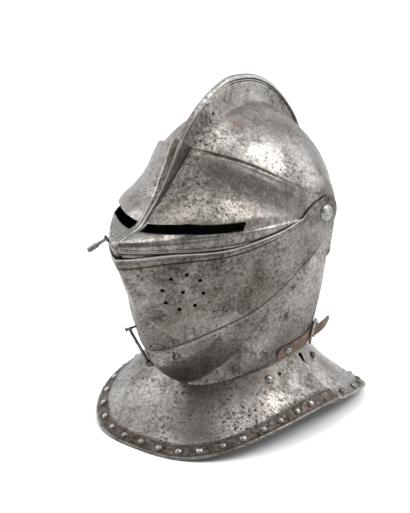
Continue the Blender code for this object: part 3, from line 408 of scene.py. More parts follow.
def give_wall(piece):
    """The steel's thickness, inward from the outer face, with its edges worn a little round."""
    wall = piece.modifiers.new("Wall", "SOLIDIFY")
    wall.thickness = PLATE
    wall.offset = -1
    edge = piece.modifiers.new("Worn edge", "BEVEL")
    edge.width = 0.0003
    edge.segments = 2
    edge.limit_method = "ANGLE"
    edge.angle_limit = math.radians(55)


def head_plate(name, form, columns, first_edge, last_edge, row_count, ridge=(), split=None, relief=None):
    """Mesh of a plate that turns about the pivots: its columns run like ribs from the pivot to the middle.

    ridge lists functions for the rows of a comb or keel above the middle. split is (column, rows) where the
    plate leaves its outline for the neck line.
    """
    first_at = curve(first_edge)
    last_at = curve(last_edge)
    span = columns[-1] - columns[0]
    points = []
    heights = []
    dirt_shade_and_sheen = []
    sector = []
    for k, end_angle in enumerate(columns):
        even = k / (len(columns) - 1)
        along = (end_angle - columns[0]) / span
        foot = ridge[0](end_angle)[0] if ridge else 0.0
        start_turn = form.turn_at_distance(end_angle, DISC)
        end_turn = form.turn_at_x(end_angle, form.edge_x(end_angle) + foot)
        end_distance = form.distance(end_angle, form.edge_x(end_angle) + foot)
        line = []
        rows_here = split[1] if split and k >= split[0] else row_count
        for i in range(rows_here + 1):
            share = (i / rows_here) ** ROW_BUNCHING
            turn = mix(start_turn, end_turn, share)
            distance = form.reach(end_angle) * math.sin(turn) ** (2 / form.bends(end_angle)[1])
            way = clamp((distance - DISC) / (end_distance - DISC))
            column = mix(mix(even, along, 0.5), along, ease(share * 2.0))
            angle = mix(first_at(way), last_at(way), column)
            if i == rows_here:
                angle = end_angle
            here = form.turn_at_distance(angle, distance) if i < rows_here else end_turn
            x, distance = form.place(angle, here)
            if i == 0:
                x, distance = form.half_width, DISC
            line.append((x, distance, angle, relief(column, way) if relief else 0.0, 0.0))
        if split and k == split[0]:
            for i in range(split[1] + 1, row_count + 1):
                x = form.edge_x(end_angle) * (row_count - i) / (row_count - split[1])
                turn = math.degrees(math.asin(x / (NECK_WIDTH - form.inset)))
                x, y, z = neck_point(turn, form.inset)
                line.append((x, math.hypot(y, z), math.degrees(math.atan2(z, -y)), 0.0, 0.0))
        low = form.at_neck(end_angle)
        for row in ridge[1:]:
            half_width, distance, stain_and_shade = row(end_angle)
            if low is not None:
                half_width += form.edge_x(end_angle)
                distance = form.distance(end_angle, half_width)
            line.append((half_width, distance, end_angle, 0.0, stain_and_shade))
        if low is None:
            line[-1] = (0.0, *line[-1][1:])
        if split and k == split[0]:
            fill = 5
            before = sector[-1]
            for n in range(1, fill):
                share = n / fill
                between = []
                for one, other in zip(before, line):
                    x, distance, angle, rise, stain_and_shade = (mix(a, b, share) for a, b in zip(one, other))
                    if len(between) > split[1]:
                        distance = form.distance(angle, x)
                    between.append((x, distance, angle, rise, stain_and_shade))
                sector.append(between)
        sector.append(line)
    starts = []
    for line in sector:
        starts.append(len(points))
        points += [from_pivot(*place[:3]) for place in line]
        heights += [place[3] for place in line]
        dirt_shade_and_sheen += [place[4] for place in line]
    faces = []
    for k in range(len(sector) - 1):
        for i in range(min(len(sector[k]), len(sector[k + 1])) - 1):
            a, b = starts[k] + i, starts[k + 1] + i
            faces.append((a, a + 1, b + 1, b))
    ring_angles = [line[0][2] for line in sector]
    missing = 360 - abs(ring_angles[-1] - ring_angles[0])
    extra = max(1, round(missing / 6))
    step = math.copysign(missing / extra, span)
    outer = list(starts)
    for n in range(1, extra):
        angle = sector[-1][0][2] + step * n
        outer.append(len(points))
        ring_angles.append(angle)
        points.append(from_pivot(form.half_width, DISC, angle))
    inner = []
    for angle in ring_angles:
        inner.append(len(points))
        points.append(from_pivot(form.half_width, PIVOT_HOLE, angle))
    for n in range(len(outer)):
        m = (n + 1) % len(outer)
        faces.append((inner[n], outer[n], outer[m], inner[m]))
    heights += [0.0] * (len(points) - len(heights))
    dirt_shade_and_sheen += [0.0] * (len(points) - len(dirt_shade_and_sheen))
    if span < 0:
        faces = [face[::-1] for face in faces]
    return steel_sheet(name, points, [face[::-1] for face in faces], heights, dirt_shade_and_sheen)


def steps(first, last, size):
    """Even steps from the first to the last, of about a size."""
    count = max(1, round(abs(last - first) / size))
    return [mix(first, last, n / count) for n in range(count + 1)]


def cut_with(piece, name, bodies):
    """Cuts closed bodies, each a list of points and of faces, out of a piece."""
    work = bmesh.new()
    for points, faces in bodies:
        verts = [work.verts.new(point) for point in points]
        for face in faces:
            work.faces.new([verts[i] for i in face])
    bmesh.ops.recalc_face_normals(work, faces=work.faces)
    tool = bpy.data.objects.new(name, mesh_from(work, name))
    bpy.context.scene.collection.objects.link(tool)
    tool.hide_render = True
    tool.display_type = "WIRE"
    hole = piece.modifiers.new(name, "BOOLEAN")
    hole.operation = "DIFFERENCE"
    hole.solver = "EXACT"
    hole.object = tool


def prism_faces(count):
    """Faces between two like outlines of a count of points, which are numbered one after the other."""
    faces = [tuple(range(count)), tuple(range(2 * count - 1, count - 1, -1))]
    return faces + [(n, n + count, (n + 1) % count + count, (n + 1) % count) for n in range(count)]


def rod_body(start, end, radius, sides=20):
    """Points and faces of a closed rod between two points."""
    start, end = Vector(start), Vector(end)
    side = (end - start).orthogonal().normalized()
    across = (end - start).normalized().cross(side)
    points = []
    for centre in (start, end):
        for n in range(sides):
            turn = 2 * math.pi * n / sides
            points.append(centre + (side * math.cos(turn) + across * math.sin(turn)) * radius)
    return points, prism_faces(sides)


class Finish:
    """A material under construction: its nodes are added one by one."""

    def __init__(self, name):
        self.material = bpy.data.materials.new(name)
        self.material.use_nodes = True
        self.tree = self.material.node_tree
        self.shader = self.tree.nodes["Principled BSDF"]
        self.place = self.tree.nodes.new("ShaderNodeTexCoord").outputs["Object"]

    def link(self, source, socket):
        self.tree.links.new(source, socket)

    def fill(self, pairs):
        """Sets sockets to numbers or colours, or links them to the sockets given for them."""
        for value, socket in pairs:
            if isinstance(value, (int, float)):
                socket.default_value = value
            elif isinstance(value, tuple):
                socket.default_value = (*value, 1)
            else:
                self.link(value, socket)

    def mark(self, attribute):
        """A value that the mesh carries."""
        node = self.tree.nodes.new("ShaderNodeAttribute")
        node.attribute_name = attribute
        return node.outputs["Fac"]

    def cloud(self, scale, detail=6.0, roughness=0.6, stretch=(1, 1, 1)):
        """Noise over the piece, about 0 to 1."""
        mapping = self.tree.nodes.new("ShaderNodeMapping")
        mapping.inputs["Scale"].default_value = stretch
        self.link(self.place, mapping.inputs["Vector"])
        node = self.tree.nodes.new("ShaderNodeTexNoise")
        node.inputs["Scale"].default_value = scale
        node.inputs["Detail"].default_value = detail
        node.inputs["Roughness"].default_value = roughness
        self.link(mapping.outputs["Vector"], node.inputs["Vector"])
        return node.outputs["Fac"]

    def ramp(self, source, *stops):
        """Colours or greys by a value: each stop is (value, grey or (r, g, b))."""
        node = self.tree.nodes.new("ShaderNodeValToRGB")
        elements = node.color_ramp.elements
        while len(elements) < len(stops):
            elements.new(0.5)
        for element, (value, colour) in zip(elements, stops):
            element.position = value
            element.color = (colour, colour, colour, 1) if isinstance(colour, float) else (*colour, 1)
        self.link(source, node.inputs["Fac"])
        return node.outputs["Color"]

    def blend(self, share, first, second):
        """Mixes two colours, each a socket or an (r, g, b), by a share that is a socket or a number."""
        node = self.tree.nodes.new("ShaderNodeMix")
        node.data_type = "RGBA"
        self.fill(((share, node.inputs["Factor"]), (first, node.inputs["A"]), (second, node.inputs["B"])))
        return node.outputs["Result"]

    def sum(self, kind, first, second):
        node = self.tree.nodes.new("ShaderNodeMath")
        node.operation = kind
        self.fill(((first, node.inputs[0]), (second, node.inputs[1])))
        return node.outputs["Value"]

    def patch(self, centre, radius):
        """One at a point of the piece, falling to nothing a radius away."""
        node = self.tree.nodes.new("ShaderNodeVectorMath")
        node.operation = "DISTANCE"
        node.inputs[1].default_value = centre
        self.link(self.place, node.inputs[0])
        return self.sum("SUBTRACT", 1.0, self.sum("DIVIDE", node.outputs["Value"], radius))

    def bump(self, height, depth, strength=1.0, below=None):
        node = self.tree.nodes.new("ShaderNodeBump")
        node.inputs["Distance"].default_value = depth
        node.inputs["Strength"].default_value = strength
        self.link(height, node.inputs["Height"])
        if below is not None:
            self.link(below, node.inputs["Normal"])
        self.link(node.outputs["Normal"], self.shader.inputs["Normal"])
        return node.outputs["Normal"]


def aged_steel(name, dark=(0.038, 0.031, 0.026), middle=(0.132, 0.119, 0.106), light=(0.325, 0.308, 0.292),
               rubbed_and_highlights=(), rust=(), age=1.0, dull=0.0, stained=0.0):
    """Old steel: mottled grey-brown, dark pits, rust in places, and bright patches that are rubbed wear and
    painted highlight at once.

    The bright patches and rust list (centre, radius, share) on the piece. stained is how brown a sunken
    border is.
    """
    steel = Finish(name)
    broad = steel.cloud(9, 5, 0.6)
    mottle = steel.cloud(52, 9, 0.74)
    grain = steel.cloud(330, 7, 0.78)
    tone = steel.sum("ADD", steel.sum("MULTIPLY", broad, 0.26), steel.sum("MULTIPLY", mottle, 0.40))
    tone = steel.sum("ADD", tone, steel.sum("MULTIPLY", grain, 0.34))
    # Bright patches lighten the tone: rubbed wear, with painted highlights in the same places.
    for centre, radius, share in rubbed_and_highlights:
        polish_and_highlight = steel.ramp(steel.patch(centre, radius), (0.0, 0.0), (0.7, 1.0))
        tone = steel.sum("ADD", tone, steel.sum("MULTIPLY", polish_and_highlight, share * 0.45))
    colour = steel.ramp(tone, (0.395, dark), (0.475, middle), (0.560, light), (0.67, (0.56, 0.555, 0.55)))
    brown = steel.ramp(steel.cloud(26, 9, 0.76), (0.50, 0.0), (0.62, 0.80 * age))
    colour = steel.blend(brown, colour, (0.082, 0.065, 0.052))
    for centre, radius, share in rust:
        spot = steel.sum("MULTIPLY", steel.patch(centre, radius), steel.cloud(150, 8, 0.78))
        colour = steel.blend(steel.ramp(spot, (0.12, 0.0), (0.40, share)), colour, (0.082, 0.042, 0.028))
    where = steel.ramp(steel.cloud(16, 4, 0.6), (0.43, 0.10), (0.60, 1.0))
    pits = steel.sum("MULTIPLY", steel.ramp(steel.cloud(250, 5, 0.62), (0.545, 0.0), (0.615, 1.0)), where)
    specks = steel.ramp(steel.cloud(620, 3, 0.6), (0.585, 0.0), (0.66, 1.0))
    pits = steel.sum("MAXIMUM", pits, steel.sum("MULTIPLY", specks, 0.55))
    colour = steel.blend(steel.sum("MULTIPLY", pits, 0.66 * age), colour, (0.030, 0.022, 0.016))
    scratches = steel.ramp(steel.cloud(60, 6, 0.7, (1.0, 14.0, 2.0)), (0.60, 0.0), (0.70, 0.14))
    colour = steel.blend(scratches, colour, (0.52, 0.50, 0.48))
    # The line mark: dark in sunken lines, with painted shade in the comb's foot crease and a painted shadow
    # on the rear gorget plate beside the front plate's end.
    lines = steel.mark("dirt_shade_and_sheen")
    grime_and_shade = steel.ramp(steel.sum("MULTIPLY", lines, 0.9), (0.0, 0.0), (1.0, 1.0))
    colour = steel.blend(grime_and_shade, colour, (0.022, 0.016, 0.012))
    # Below nothing it lightens: rubbed wear on raised lines, and a painted highlight along the front gorget
    # plate's end.
    worn = steel.ramp(steel.sum("MULTIPLY", lines, -0.8), (0.0, 0.0), (1.0, 1.0))
    colour = steel.blend(worn, colour, (0.60, 0.59, 0.575))
    rough = steel.ramp(tone, (0.40, 0.52 + dull), (0.50, 0.37 + dull), (0.60, 0.26 + dull))
    rough = steel.blend(pits, rough, (0.80, 0.80, 0.80))
    if stained:
        blotch = steel.ramp(steel.cloud(95, 8, 0.75), (0.40, 1.0), (0.60, 0.45))
        share = steel.sum("MULTIPLY", steel.sum("MULTIPLY", steel.mark("border"), blotch), stained)
        brown = steel.ramp(steel.cloud(240, 6, 0.7),
                           (0.42, (0.022, 0.016, 0.012)), (0.60, (0.095, 0.068, 0.050)))
        colour = steel.blend(share, colour, brown)
        rough = steel.blend(share, rough, (0.62, 0.62, 0.62))
    steel.link(colour, steel.shader.inputs["Base Color"])
    steel.link(rough, steel.shader.inputs["Roughness"])
    steel.shader.inputs["Metallic"].default_value = 0.95
    first = steel.bump(steel.cloud(110, 6, 0.7), 0.00030, 0.45)
    steel.bump(steel.sum("SUBTRACT", steel.sum("MULTIPLY", grain, 0.6), pits), 0.00016, 0.9, first)
    return steel.material


BROW_ANGLE = 12.0
CHEEK_ANGLE = 273.0


def comb_side(share_up, half_width, stain_and_shade):
    """One line along the comb's side, at a share of its height, with its half-width there."""
    def row(angle):
        foot = skull_form.distance(angle, COMB_BASE)
        rise = max(0.0008, comb_reach(angle) - foot)
        fade = clamp((200 - angle) / 10)
        return half_width, foot + max(0.0004, rise * fade) * share_up, stain_and_shade * fade
    return row


COMB_SIDE = (
    # share of height, half-width in millimetres, how dark it is painted there: painted shade in the foot's
    # crease, dark in the cut lines, lighter below nothing where the crest is rubbed
    (0.0, 7.0, 0.7), (0.03, 6.1, 0.5), (0.09, 5.3, 0.15), (0.2, 4.6, 0), (0.35, 3.9, 0), (0.5, 3.3, 0),
    (0.64, 2.8, 0), (0.715, 2.6, 0), (0.73, 2.3, 0.6), (0.745, 1.8, 1.0), (0.76, 2.3, 0.6), (0.775, 2.6, 0),
    (0.80, 2.6, 0), (0.815, 2.2, 0.6), (0.828, 1.8, 1.0), (0.842, 2.3, 0.6), (0.858, 2.8, 0),
    (0.885, 3.2, -0.3), (0.92, 3.35, -0.7), (0.95, 3.15, -0.4), (0.978, 2.4, 0), (0.994, 1.3, 0),
    (1.0, 0.0, 0),
)
skull_columns = (steps(BROW_ANGLE, 230, 2.2) + [234, 238, 241, 244, 246.5, 248.5, skull_form.back_corner]
                 + [251.4, 252.4, 253.6, 255, 256.6, 258.4, 260.4, 262.6, 265, 267.6, 270.2, CHEEK_ANGLE])
skull_mesh = head_plate(
    "skull_plate", skull_form, skull_columns,
    ((0.0, -8), (0.15, 0), (0.5, 9), (1.0, BROW_ANGLE)),
    ((0.0, 300), (0.2, 285), (0.6, 276), (1.0, CHEEK_ANGLE)), 34,
    [comb_side(share, width / 1000, stain_and_shade) for share, width, stain_and_shade in COMB_SIDE])
skull_steel = aged_steel(
    "skull_steel",
    rubbed_and_highlights=(((0.0, 0.03, 0.345), 0.075, 0.10), ((0.055, 0.085, 0.275), 0.070, 0.10),
            ((-0.06, -0.02, 0.29), 0.08, 0.08)),
    rust=(((0.030, -0.012, 0.322), 0.020, 0.9), ((0.05, 0.03, 0.31), 0.03, 0.35)), age=0.62)
skull = new_piece("skull_plate", skull_mesh, skull_steel, "helmet", ["skull"])
give_wall(skull)
comb_hole = from_pivot(0.0, *COMB_HOLE)
across_comb = Vector((0.02, 0, 0))
cut_with(skull, "comb_hole", [rod_body(comb_hole - across_comb, comb_hole + across_comb, HOLE)])

# The lower bevor: the plate round the chin and neck that the head closes behind, raised from one sheet of the
# same aged steel. It turns on the pivots and is rubbed bright at the sides, with painted highlights there.
BEVOR_REACH = (
    (-20, 0.905), (-30, 0.910), (-35, 0.925), (-40, 0.952), (-43.5, 0.980), (-46, 1.018), (-52, 1.026),
)
CHIN_SPLIT = -62.5
bevor_form = PlateForm(BEVOR_WIDTH, in_metres(BEVOR_REACH, BEAK_REACH), "front", 0.0)
bevor_columns = steps(-20, -43, 1.6) + steps(-44, -58.4, 0.9)
bevor_split = len(bevor_columns)
bevor_columns += [CHIN_SPLIT] + steps(-63.5, -89, 1.5) + [-90, -90.5, -91]
bevor_mesh = head_plate(
    "lower_bevor_plate", bevor_form, bevor_columns,
    ((0.0, 45), (0.06, 10), (0.12, -7), (0.4, -20), (1.0, -20)),
    ((0.0, -160), (0.15, -122), (0.5, -101), (1.0, -91)), 42, split=(bevor_split, 28))
bevor_steel = aged_steel(
    "bevor_steel", rubbed_and_highlights=(((0.098, 0.03, 0.17), 0.06, 0.12), ((-0.07, -0.06, 0.12), 0.07, 0.10)),
    rust=(((0.02, -0.085, 0.075), 0.04, 0.4),), dull=0.14)
bevor = new_piece("lower_bevor_plate", bevor_mesh, bevor_steel, "helmet", ["lower_bevor"])
give_wall(bevor)

# The upper bevor: the beaked steel plate over the mouth, which lifts on the pivots. A ring of breaths is
# punched on each side. Its upper edge has a raised lip and a cut line below it, its lower edge a fine line.
VENTAIL_REACH = (
    (-4, 1.0), (-5.5, 0.998), (-14, 0.950), (-25, 0.930), (-33, 0.958), (-41, 0.990), (-47, 1.02),
)
ventail_form = PlateForm(VENTAIL_WIDTH, in_metres(VENTAIL_REACH, BEAK_REACH), "front", -LAYER)
ventail_columns = steps(-5, -10, 0.16) + steps(-10.4, -38, 0.6) + steps(-38.2, -41, 0.16)


def ventail_relief(column, way):
    """Height of the upper bevor's lip and lines, by the share of the way from its upper to its lower edge."""
    fade = ease((way - 0.02) / 0.1)
    lip = 0.00055 * (1 - ease(column / 0.030))
    groove = -0.00075 * bell(column, 0.092, 0.013) - 0.00030 * bell(column, 0.040, 0.010)
    low = -0.00055 * bell(column, 0.968, 0.010) + 0.00035 * ease((column - 0.985) / 0.012)
    return (lip + groove + low) * fade


ventail_mesh = head_plate(
    "upper_bevor_plate", ventail_form, ventail_columns,
    ((0.0, 60), (0.05, 24), (0.098, 3), (0.245, -5.4), (0.5, -7.3), (0.837, -4.6), (1.0, -5)),
    ((0.0, -140), (0.08, -78), (0.25, -58), (0.5, -49.5), (0.8, -42.3), (1.0, -41)), 44,
    relief=ventail_relief)
# Its steel is a darker copy of the head's other steel: painted shade.
ventail_steel_painted_darker = aged_steel(
    "ventail_steel_painted_darker", dark=(0.034, 0.027, 0.022), middle=(0.110, 0.097, 0.084), light=(0.262, 0.243, 0.224),
    dull=0.06, rubbed_and_highlights=(
        ((0.10, 0.01, 0.19), 0.06, 0.10), ((-0.07, -0.08, 0.16), 0.08, 0.12),
        ((0.05, -0.08, 0.125), 0.05, 0.05)))
ventail = new_piece("upper_bevor_plate", ventail_mesh, ventail_steel_painted_darker,
                    "upper_bevor", ["ventail"])
give_wall(ventail)


def on_plate(form, angle, x, side=1, lift=0.0):
    """A point on a plate's outer face, raised by a lift, and the way out of the plate there."""
    def point(at_angle, at_x):
        return from_pivot(side * at_x, form.distance(at_angle, at_x), at_angle)
    here = point(angle, x)
    up = point(angle + 0.5, x) - point(angle - 0.5, x)
    over = point(angle, x + 0.001) - point(angle, x - 0.001)
    out = up.cross(over).normalized()
    if out.dot(here - Vector((0, PIVOT_Y, PIVOT_Z))) < 0:
        out = -out
    return here + out * lift, out


BREATH_PLACE = (-21.0, 0.0402)  # angle and distance beside the middle of a ring's centre
BREATH_RING = 0.0205
BREATH_HOLE = 0.0021
BREATH_TILT = 8  # of the ring, in degrees
PIN_PLACE = (-12.3, 0.0156)  # of the pinhole above the ring
PIN_HOLE = 0.0008
breaths = []
for side in (1, -1):
    centre, out = on_plate(ventail_form, *BREATH_PLACE, side)
    up = (Vector((0, 0, 1)) - out * out.z).normalized()
    over = up.cross(out)
    spots = [Vector((0, 0, 0))]
    for n in range(8):
        turn = math.radians(45 * n + BREATH_TILT)
        spots.append((up * math.cos(turn) + over * math.sin(turn)) * BREATH_RING)
    for spot in spots:
        breaths.append(rod_body(centre + spot + out * 0.012, centre + spot - out * 0.014, BREATH_HOLE))
    pin, out = on_plate(ventail_form, *PIN_PLACE, side)
    breaths.append(rod_body(pin + out * 0.004, pin - out * 0.006, PIN_HOLE))
cut_with(ventail, "breath_cutter", breaths)

# The visor: a steel plate raised to a shelf over the beak, cheeks that close on the skull and a hollow keel
# that clears the comb. A sight is cut each side of the keel, with two raised mouldings below.
VISOR_REACH = BEAK_REACH - 0.0005
KEEL_ROOM = 0.0026  # between the keel and the comb inside it
KEEL_TOP = 0.0060  # half the keel's width at the brow
KEEL_TIP = 0.0024  # and at its tip
KEEL_FLARE = 0.0030  # of its foot on each side
VISOR_SHARE = (
    (37, 0.0), (28, 0.03), (20, 0.10), (12, 0.20), (6, 0.375), (2.6, 0.50), (1.4, 0.66), (0.6, 0.84),
    (-0.4, 0.975), (-1.8, 1.0), (-4.5, 0.965), (-9, 0.88), (-13, 0.82),
)
KEEL_SHARE = (
    (37, 0.0), (28, 0.0), (20, 0.03), (12, 0.13), (6, 0.31), (2.6, 0.46), (1.4, 0.63), (0.6, 0.82),
    (-0.4, 0.96), (-1.8, 0.985),
)
visor_form = PlateForm(VISOR_WIDTH, [
    (angle, mix(skull_form.reach(max(angle, SKULL_LOWEST)) + LAYER, VISOR_REACH, share))
    for angle, share in VISOR_SHARE
], None, 0.0, full=True)
keel_base = COMB_RADIUS + KEEL_ROOM + PLATE
keel_reach = curve([(angle, mix(keel_base, VISOR_REACH, share)) for angle, share in KEEL_SHARE])
keel_half = curve(((37, KEEL_TOP), (20, KEEL_TOP * 0.85), (6, KEEL_TIP * 1.2), (-2, KEEL_TIP)))


def keel_side(share_up, share_wide, stain_and_shade):
    """One line along the keel's side, at a share of its height, with its share of the keel's width."""
    def row(angle):
        half = keel_half(angle)
        foot = half + KEEL_FLARE
        base = visor_form.distance(angle, foot)
        fade = ease((angle + 3) / 5)
        top = base + max(0.0003, (keel_reach(angle) - base)) * fade if fade > 0 else base
        top = max(top, mix(visor_form.distance(angle, 0.0), top, fade))
        x = foot if share_up == 0 else half * share_wide
        return x, mix(base, top, share_up), stain_and_shade * ease((angle + 1) / 3)
    return row


visor_columns = (steps(37, 35, 0.4) + steps(34, 8, 1.0) + steps(7.5, 3.2, 0.45) + steps(3.0, -4.6, 0.2)
                 + steps(-5, -11.5, 0.8))


def visor_relief(column, way):
    """The two mouldings under the sights and the lip along the brow."""
    fade = ease((way - 0.25) / 0.3)
    low = 0.00085 * bell(column, 0.822, 0.010) + 0.00065 * bell(column, 0.853, 0.009)
    low -= 0.00050 * bell(column, 0.838, 0.006) + 0.00040 * bell(column, 0.803, 0.007)
    low -= 0.00040 * bell(column, 0.872, 0.008)
    brow = 0.00030 * (1 - ease(column / 0.012)) - 0.00035 * bell(column, 0.030, 0.009)
    return low * fade + brow * ease((way - 0.03) / 0.1)


visor_mesh = head_plate(
    "visor_plate", visor_form, visor_columns,
    ((0.0, 100), (0.06, 62), (0.16, 51), (0.41, 44), (0.77, 40.4), (1.0, 37)),
    ((0.0, -75), (0.08, -40), (0.3, -21), (0.7, -15), (1.0, -11.5)), 40,
    [keel_side(up, wide, stain_and_shade) for up, wide, stain_and_shade in (
        (0.0, 1.0, 0.55), (0.05, 1.30, 1.0), (0.12, 1.18, 0.8), (0.3, 1.06, 0.3), (0.55, 1.01, 0),
        (0.8, 1.0, -0.1), (0.92, 0.97, -0.5), (0.975, 0.84, -0.8), (0.995, 0.6, 0.2), (1.0, 0.3, 0.5),
        (1.0, 0.0, 0.5))],
    relief=visor_relief)
visor_steel = aged_steel(
    "visor_steel", rubbed_and_highlights=(((-0.06, -0.06, 0.27), 0.07, 0.14), ((0.085, 0.0, 0.255), 0.05, 0.06)),
    rust=(((0.008, -0.09, 0.30), 0.03, 0.5),))
visor = new_piece("visor_plate", visor_mesh, visor_steel, "visor", ["visor"])
give_wall(visor)
SIGHT_GAP = 0.0092
SIGHT_NARROW = 0.62  # share of the gap beside the keel
SIGHT_LOW = 0.0038  # of the lower edge beside the keel, above the pivots
SIGHT_END_LOW = 0.0016  # and at the outer end
SIGHT_TURN = (0.0450, 0.0048)  # where the edges bend between the two
SIGHT_ROUND = 0.0028
SIGHT_IN = 0.0058
SIGHT_OUT = HALF_WIDTH - 0.0175
sights = []
for side in (1, -1):
    turn_x, turn_low = SIGHT_TURN
    outline = [SIGHT_TURN, (SIGHT_IN, SIGHT_LOW), (SIGHT_IN, SIGHT_LOW + SIGHT_GAP * SIGHT_NARROW),
               (turn_x, turn_low + SIGHT_GAP * 0.94)]
    low = SIGHT_END_LOW
    for middle, first_turn in ((low + SIGHT_GAP - SIGHT_ROUND, 90), (low + SIGHT_ROUND, 0)):
        for n in range(7):
            turn = math.radians(first_turn - 15 * n)
            outline.append((SIGHT_OUT - SIGHT_ROUND + SIGHT_ROUND * math.cos(turn),
                            middle + SIGHT_ROUND * math.sin(turn)))
    points = []
    for y in (-VISOR_REACH * 1.1, -VISOR_REACH * 0.36):
        points += [(side * x, PIVOT_Y + y, PIVOT_Z + z) for x, z in outline]
    sights.append((points, prism_faces(len(outline))))
cut_with(visor, "sight_cutter", sights)

# The gorget: two flared steel plates below the neck, the front one lapping over the rear one. Their rims are
# rolled, and inside the roll a border is sunk for the row of rivets that held a lining band.
RIM_WIDTH = 0.1190  # half the rim's width
RIM_FRONT = 0.1765  # the rim's reach forward of the pivots
RIM_BACK = 0.1270  # and behind them
RIM_DROP = 0.2275  # of the lowest rim, below the pivots
RIM_ARCH = 0.0250  # rise of the rim at the sides
RIM_BEND = 2.60
COLLAR = 0.0050  # height of the upright collar inside the neck
COLLAR_LEAN = 0.0020
COLLAR_ROOM = 0.0012
BORDER = 0.0150  # width of the sunken border
SINK = 0.0011  # and how deep it is sunk
BEAD = 0.0035  # thickness of the rolled rim
RIM_GRIND = 0.0012  # ground off the lowest rim where it stands
FRONT_END = 93.0  # turn at which the front plate ends
BACK_END = 87.0  # and the rear one begins, under it
UNDER = 0.0027  # of the rear plate inside the front one
UNDER_DROP = 2.2
NECK_STEP = 0.0024
BOW = 0.0035  # how hollow the flare is
CORNER_RADIUS = 0.012  # of the rear plate's front corners
RIM_DENT = 0.00035  # depth of the hammer's marks on the gorget


def rim_point(turn):
    """The gorget's rim at a turn round it from the front."""
    turn = math.radians(turn)
    length = RIM_FRONT if math.cos(turn) > 0 else RIM_BACK
    low_half = 9 if math.cos(turn) > 0 else 20
    away = min(abs(math.degrees(turn)), 180 - abs(math.degrees(turn)))
    rise = math.sin(math.radians(90 * clamp((away - low_half) / (90 - low_half)))) ** 2
    bend = 2 / RIM_BEND
    x = math.copysign(RIM_WIDTH * abs(math.sin(turn)) ** bend, math.sin(turn))
    y = -math.copysign(length * abs(math.cos(turn)) ** bend, math.cos(turn))
    return x, y, -RIM_DROP + RIM_ARCH * rise


def flare_lines(turn, inset):
    """Collar foot, start of the flare, the way down it, the level way out, its outer side and its length."""
    neck = Vector(neck_point(turn, LAYER + COLLAR_ROOM + inset))
    start = neck - Vector((0, 0, NECK_STEP))
    along = Vector(rim_point(turn)) - start
    length = along.length
    along.normalize()
    level = Vector((along.x, along.y, 0)).normalized()
    out = Vector((0, 0, 1)) * level.dot(along) - level * along.z
    return neck, start, along, level, out, length


def on_flare(turn, inset, distance, lift=0.0):
    """A point of a gorget plate's outer face at a distance down its flare, raised by a lift."""
    neck, start, along, level, out, length = flare_lines(turn, inset)
    bow = BOW * math.sin(math.pi * clamp(distance / length))
    away = min(abs(turn), 360 - abs(turn)) - FRONT_END
    drop = mix(UNDER_DROP, 1.0, ease((away - 3) / 25)) * inset * ease(distance / (0.3 * length))
    return start + along * distance - out * (bow + drop - lift)


def gorget_place(point):
    return Vector((point.x, point.y + PIVOT_Y, max(0.0, point.z + PIVOT_Z + RIM_GRIND)))


def gorget_loop(turn, inset, corner):
    """The closed section of a gorget plate: outer side down to the rolled rim and back up the inner side."""
    neck, start, along, level, out, length = flare_lines(turn, inset)
    flare = length - corner
    top = neck + Vector((0, 0, COLLAR)) - level * COLLAR_LEAN
    loop = [(top, 0.0), (mix(top, start, 0.5), 0.0), (start + level * 0.0001 + Vector((0, 0, 0.0012)), 0.0)]
    inner = [(top - level * PLATE, 0.0), (mix(top, start, 0.5) - level * PLATE, 0.0)]

    def add(distance, height, band):
        loop.append((on_flare(turn, inset, distance, height), band))

    def add_inner(distance, height):
        inner.append((on_flare(turn, inset, distance, height), 0.0))

    body = flare - BORDER
    for n in range(14):
        add(0.0006 + (body - 0.0046) * n / 13, 0.0, 0.0)
        add_inner(0.0006 + (body - 0.0046) * n / 13, -PLATE)
    for distance, height, band in (
            (-0.0030, 0.0, 0.0), (-0.0025, -0.0004, 0.3), (-0.0020, 0.0, 0.2), (-0.0012, 0.0, 0.3),
            (-0.0004, -0.0006, 1.0), (0.0002, -SINK, 1.0), (0.0020, -SINK, 1.0)):
        add(body + distance, height, band)
    rim = BORDER - BEAD * 1.25
    for share in (0.35, 0.6, 0.8, 1.0):
        add(body + 0.0020 + (rim - 0.0020) * share, -SINK, 1.0)
    for distance in (0.0, 0.0040, 0.0080):
        add_inner(body + distance, -PLATE - SINK)
    middle = flare - BEAD * 0.52
    for angle in (150, 120, 95, 70, 45, 20, -5, -30, -60, -95, -130, -160):
        turned_by = math.radians(angle)
        add(middle + BEAD * 0.52 * math.cos(turned_by), -BEAD * 0.48 + BEAD * 0.60 * math.sin(turned_by),
            0.5 if angle > 130 else 0.0)
    return loop + inner[::-1]


def back_corner_cut(turn):
    """The round front corners of the rear plate, as a shortening of its section."""
    away = min(abs(turn - BACK_END), abs(360 - BACK_END - turn)) * math.radians(1) * RIM_WIDTH
    radius = CORNER_RADIUS
    return radius - math.sqrt(max(0.0, radius ** 2 - (radius - min(away, radius)) ** 2))


def skin(work, rings):
    """Closes rings of the same count with bands of faces between them and a face at each end."""
    count = len(rings[0])
    for first, second in zip(rings, rings[1:]):
        for n in range(count):
            m = (n + 1) % count
            work.faces.new((first[n], first[m], second[m], second[n]))
    work.faces.new(rings[0][::-1])
    work.faces.new(rings[-1])


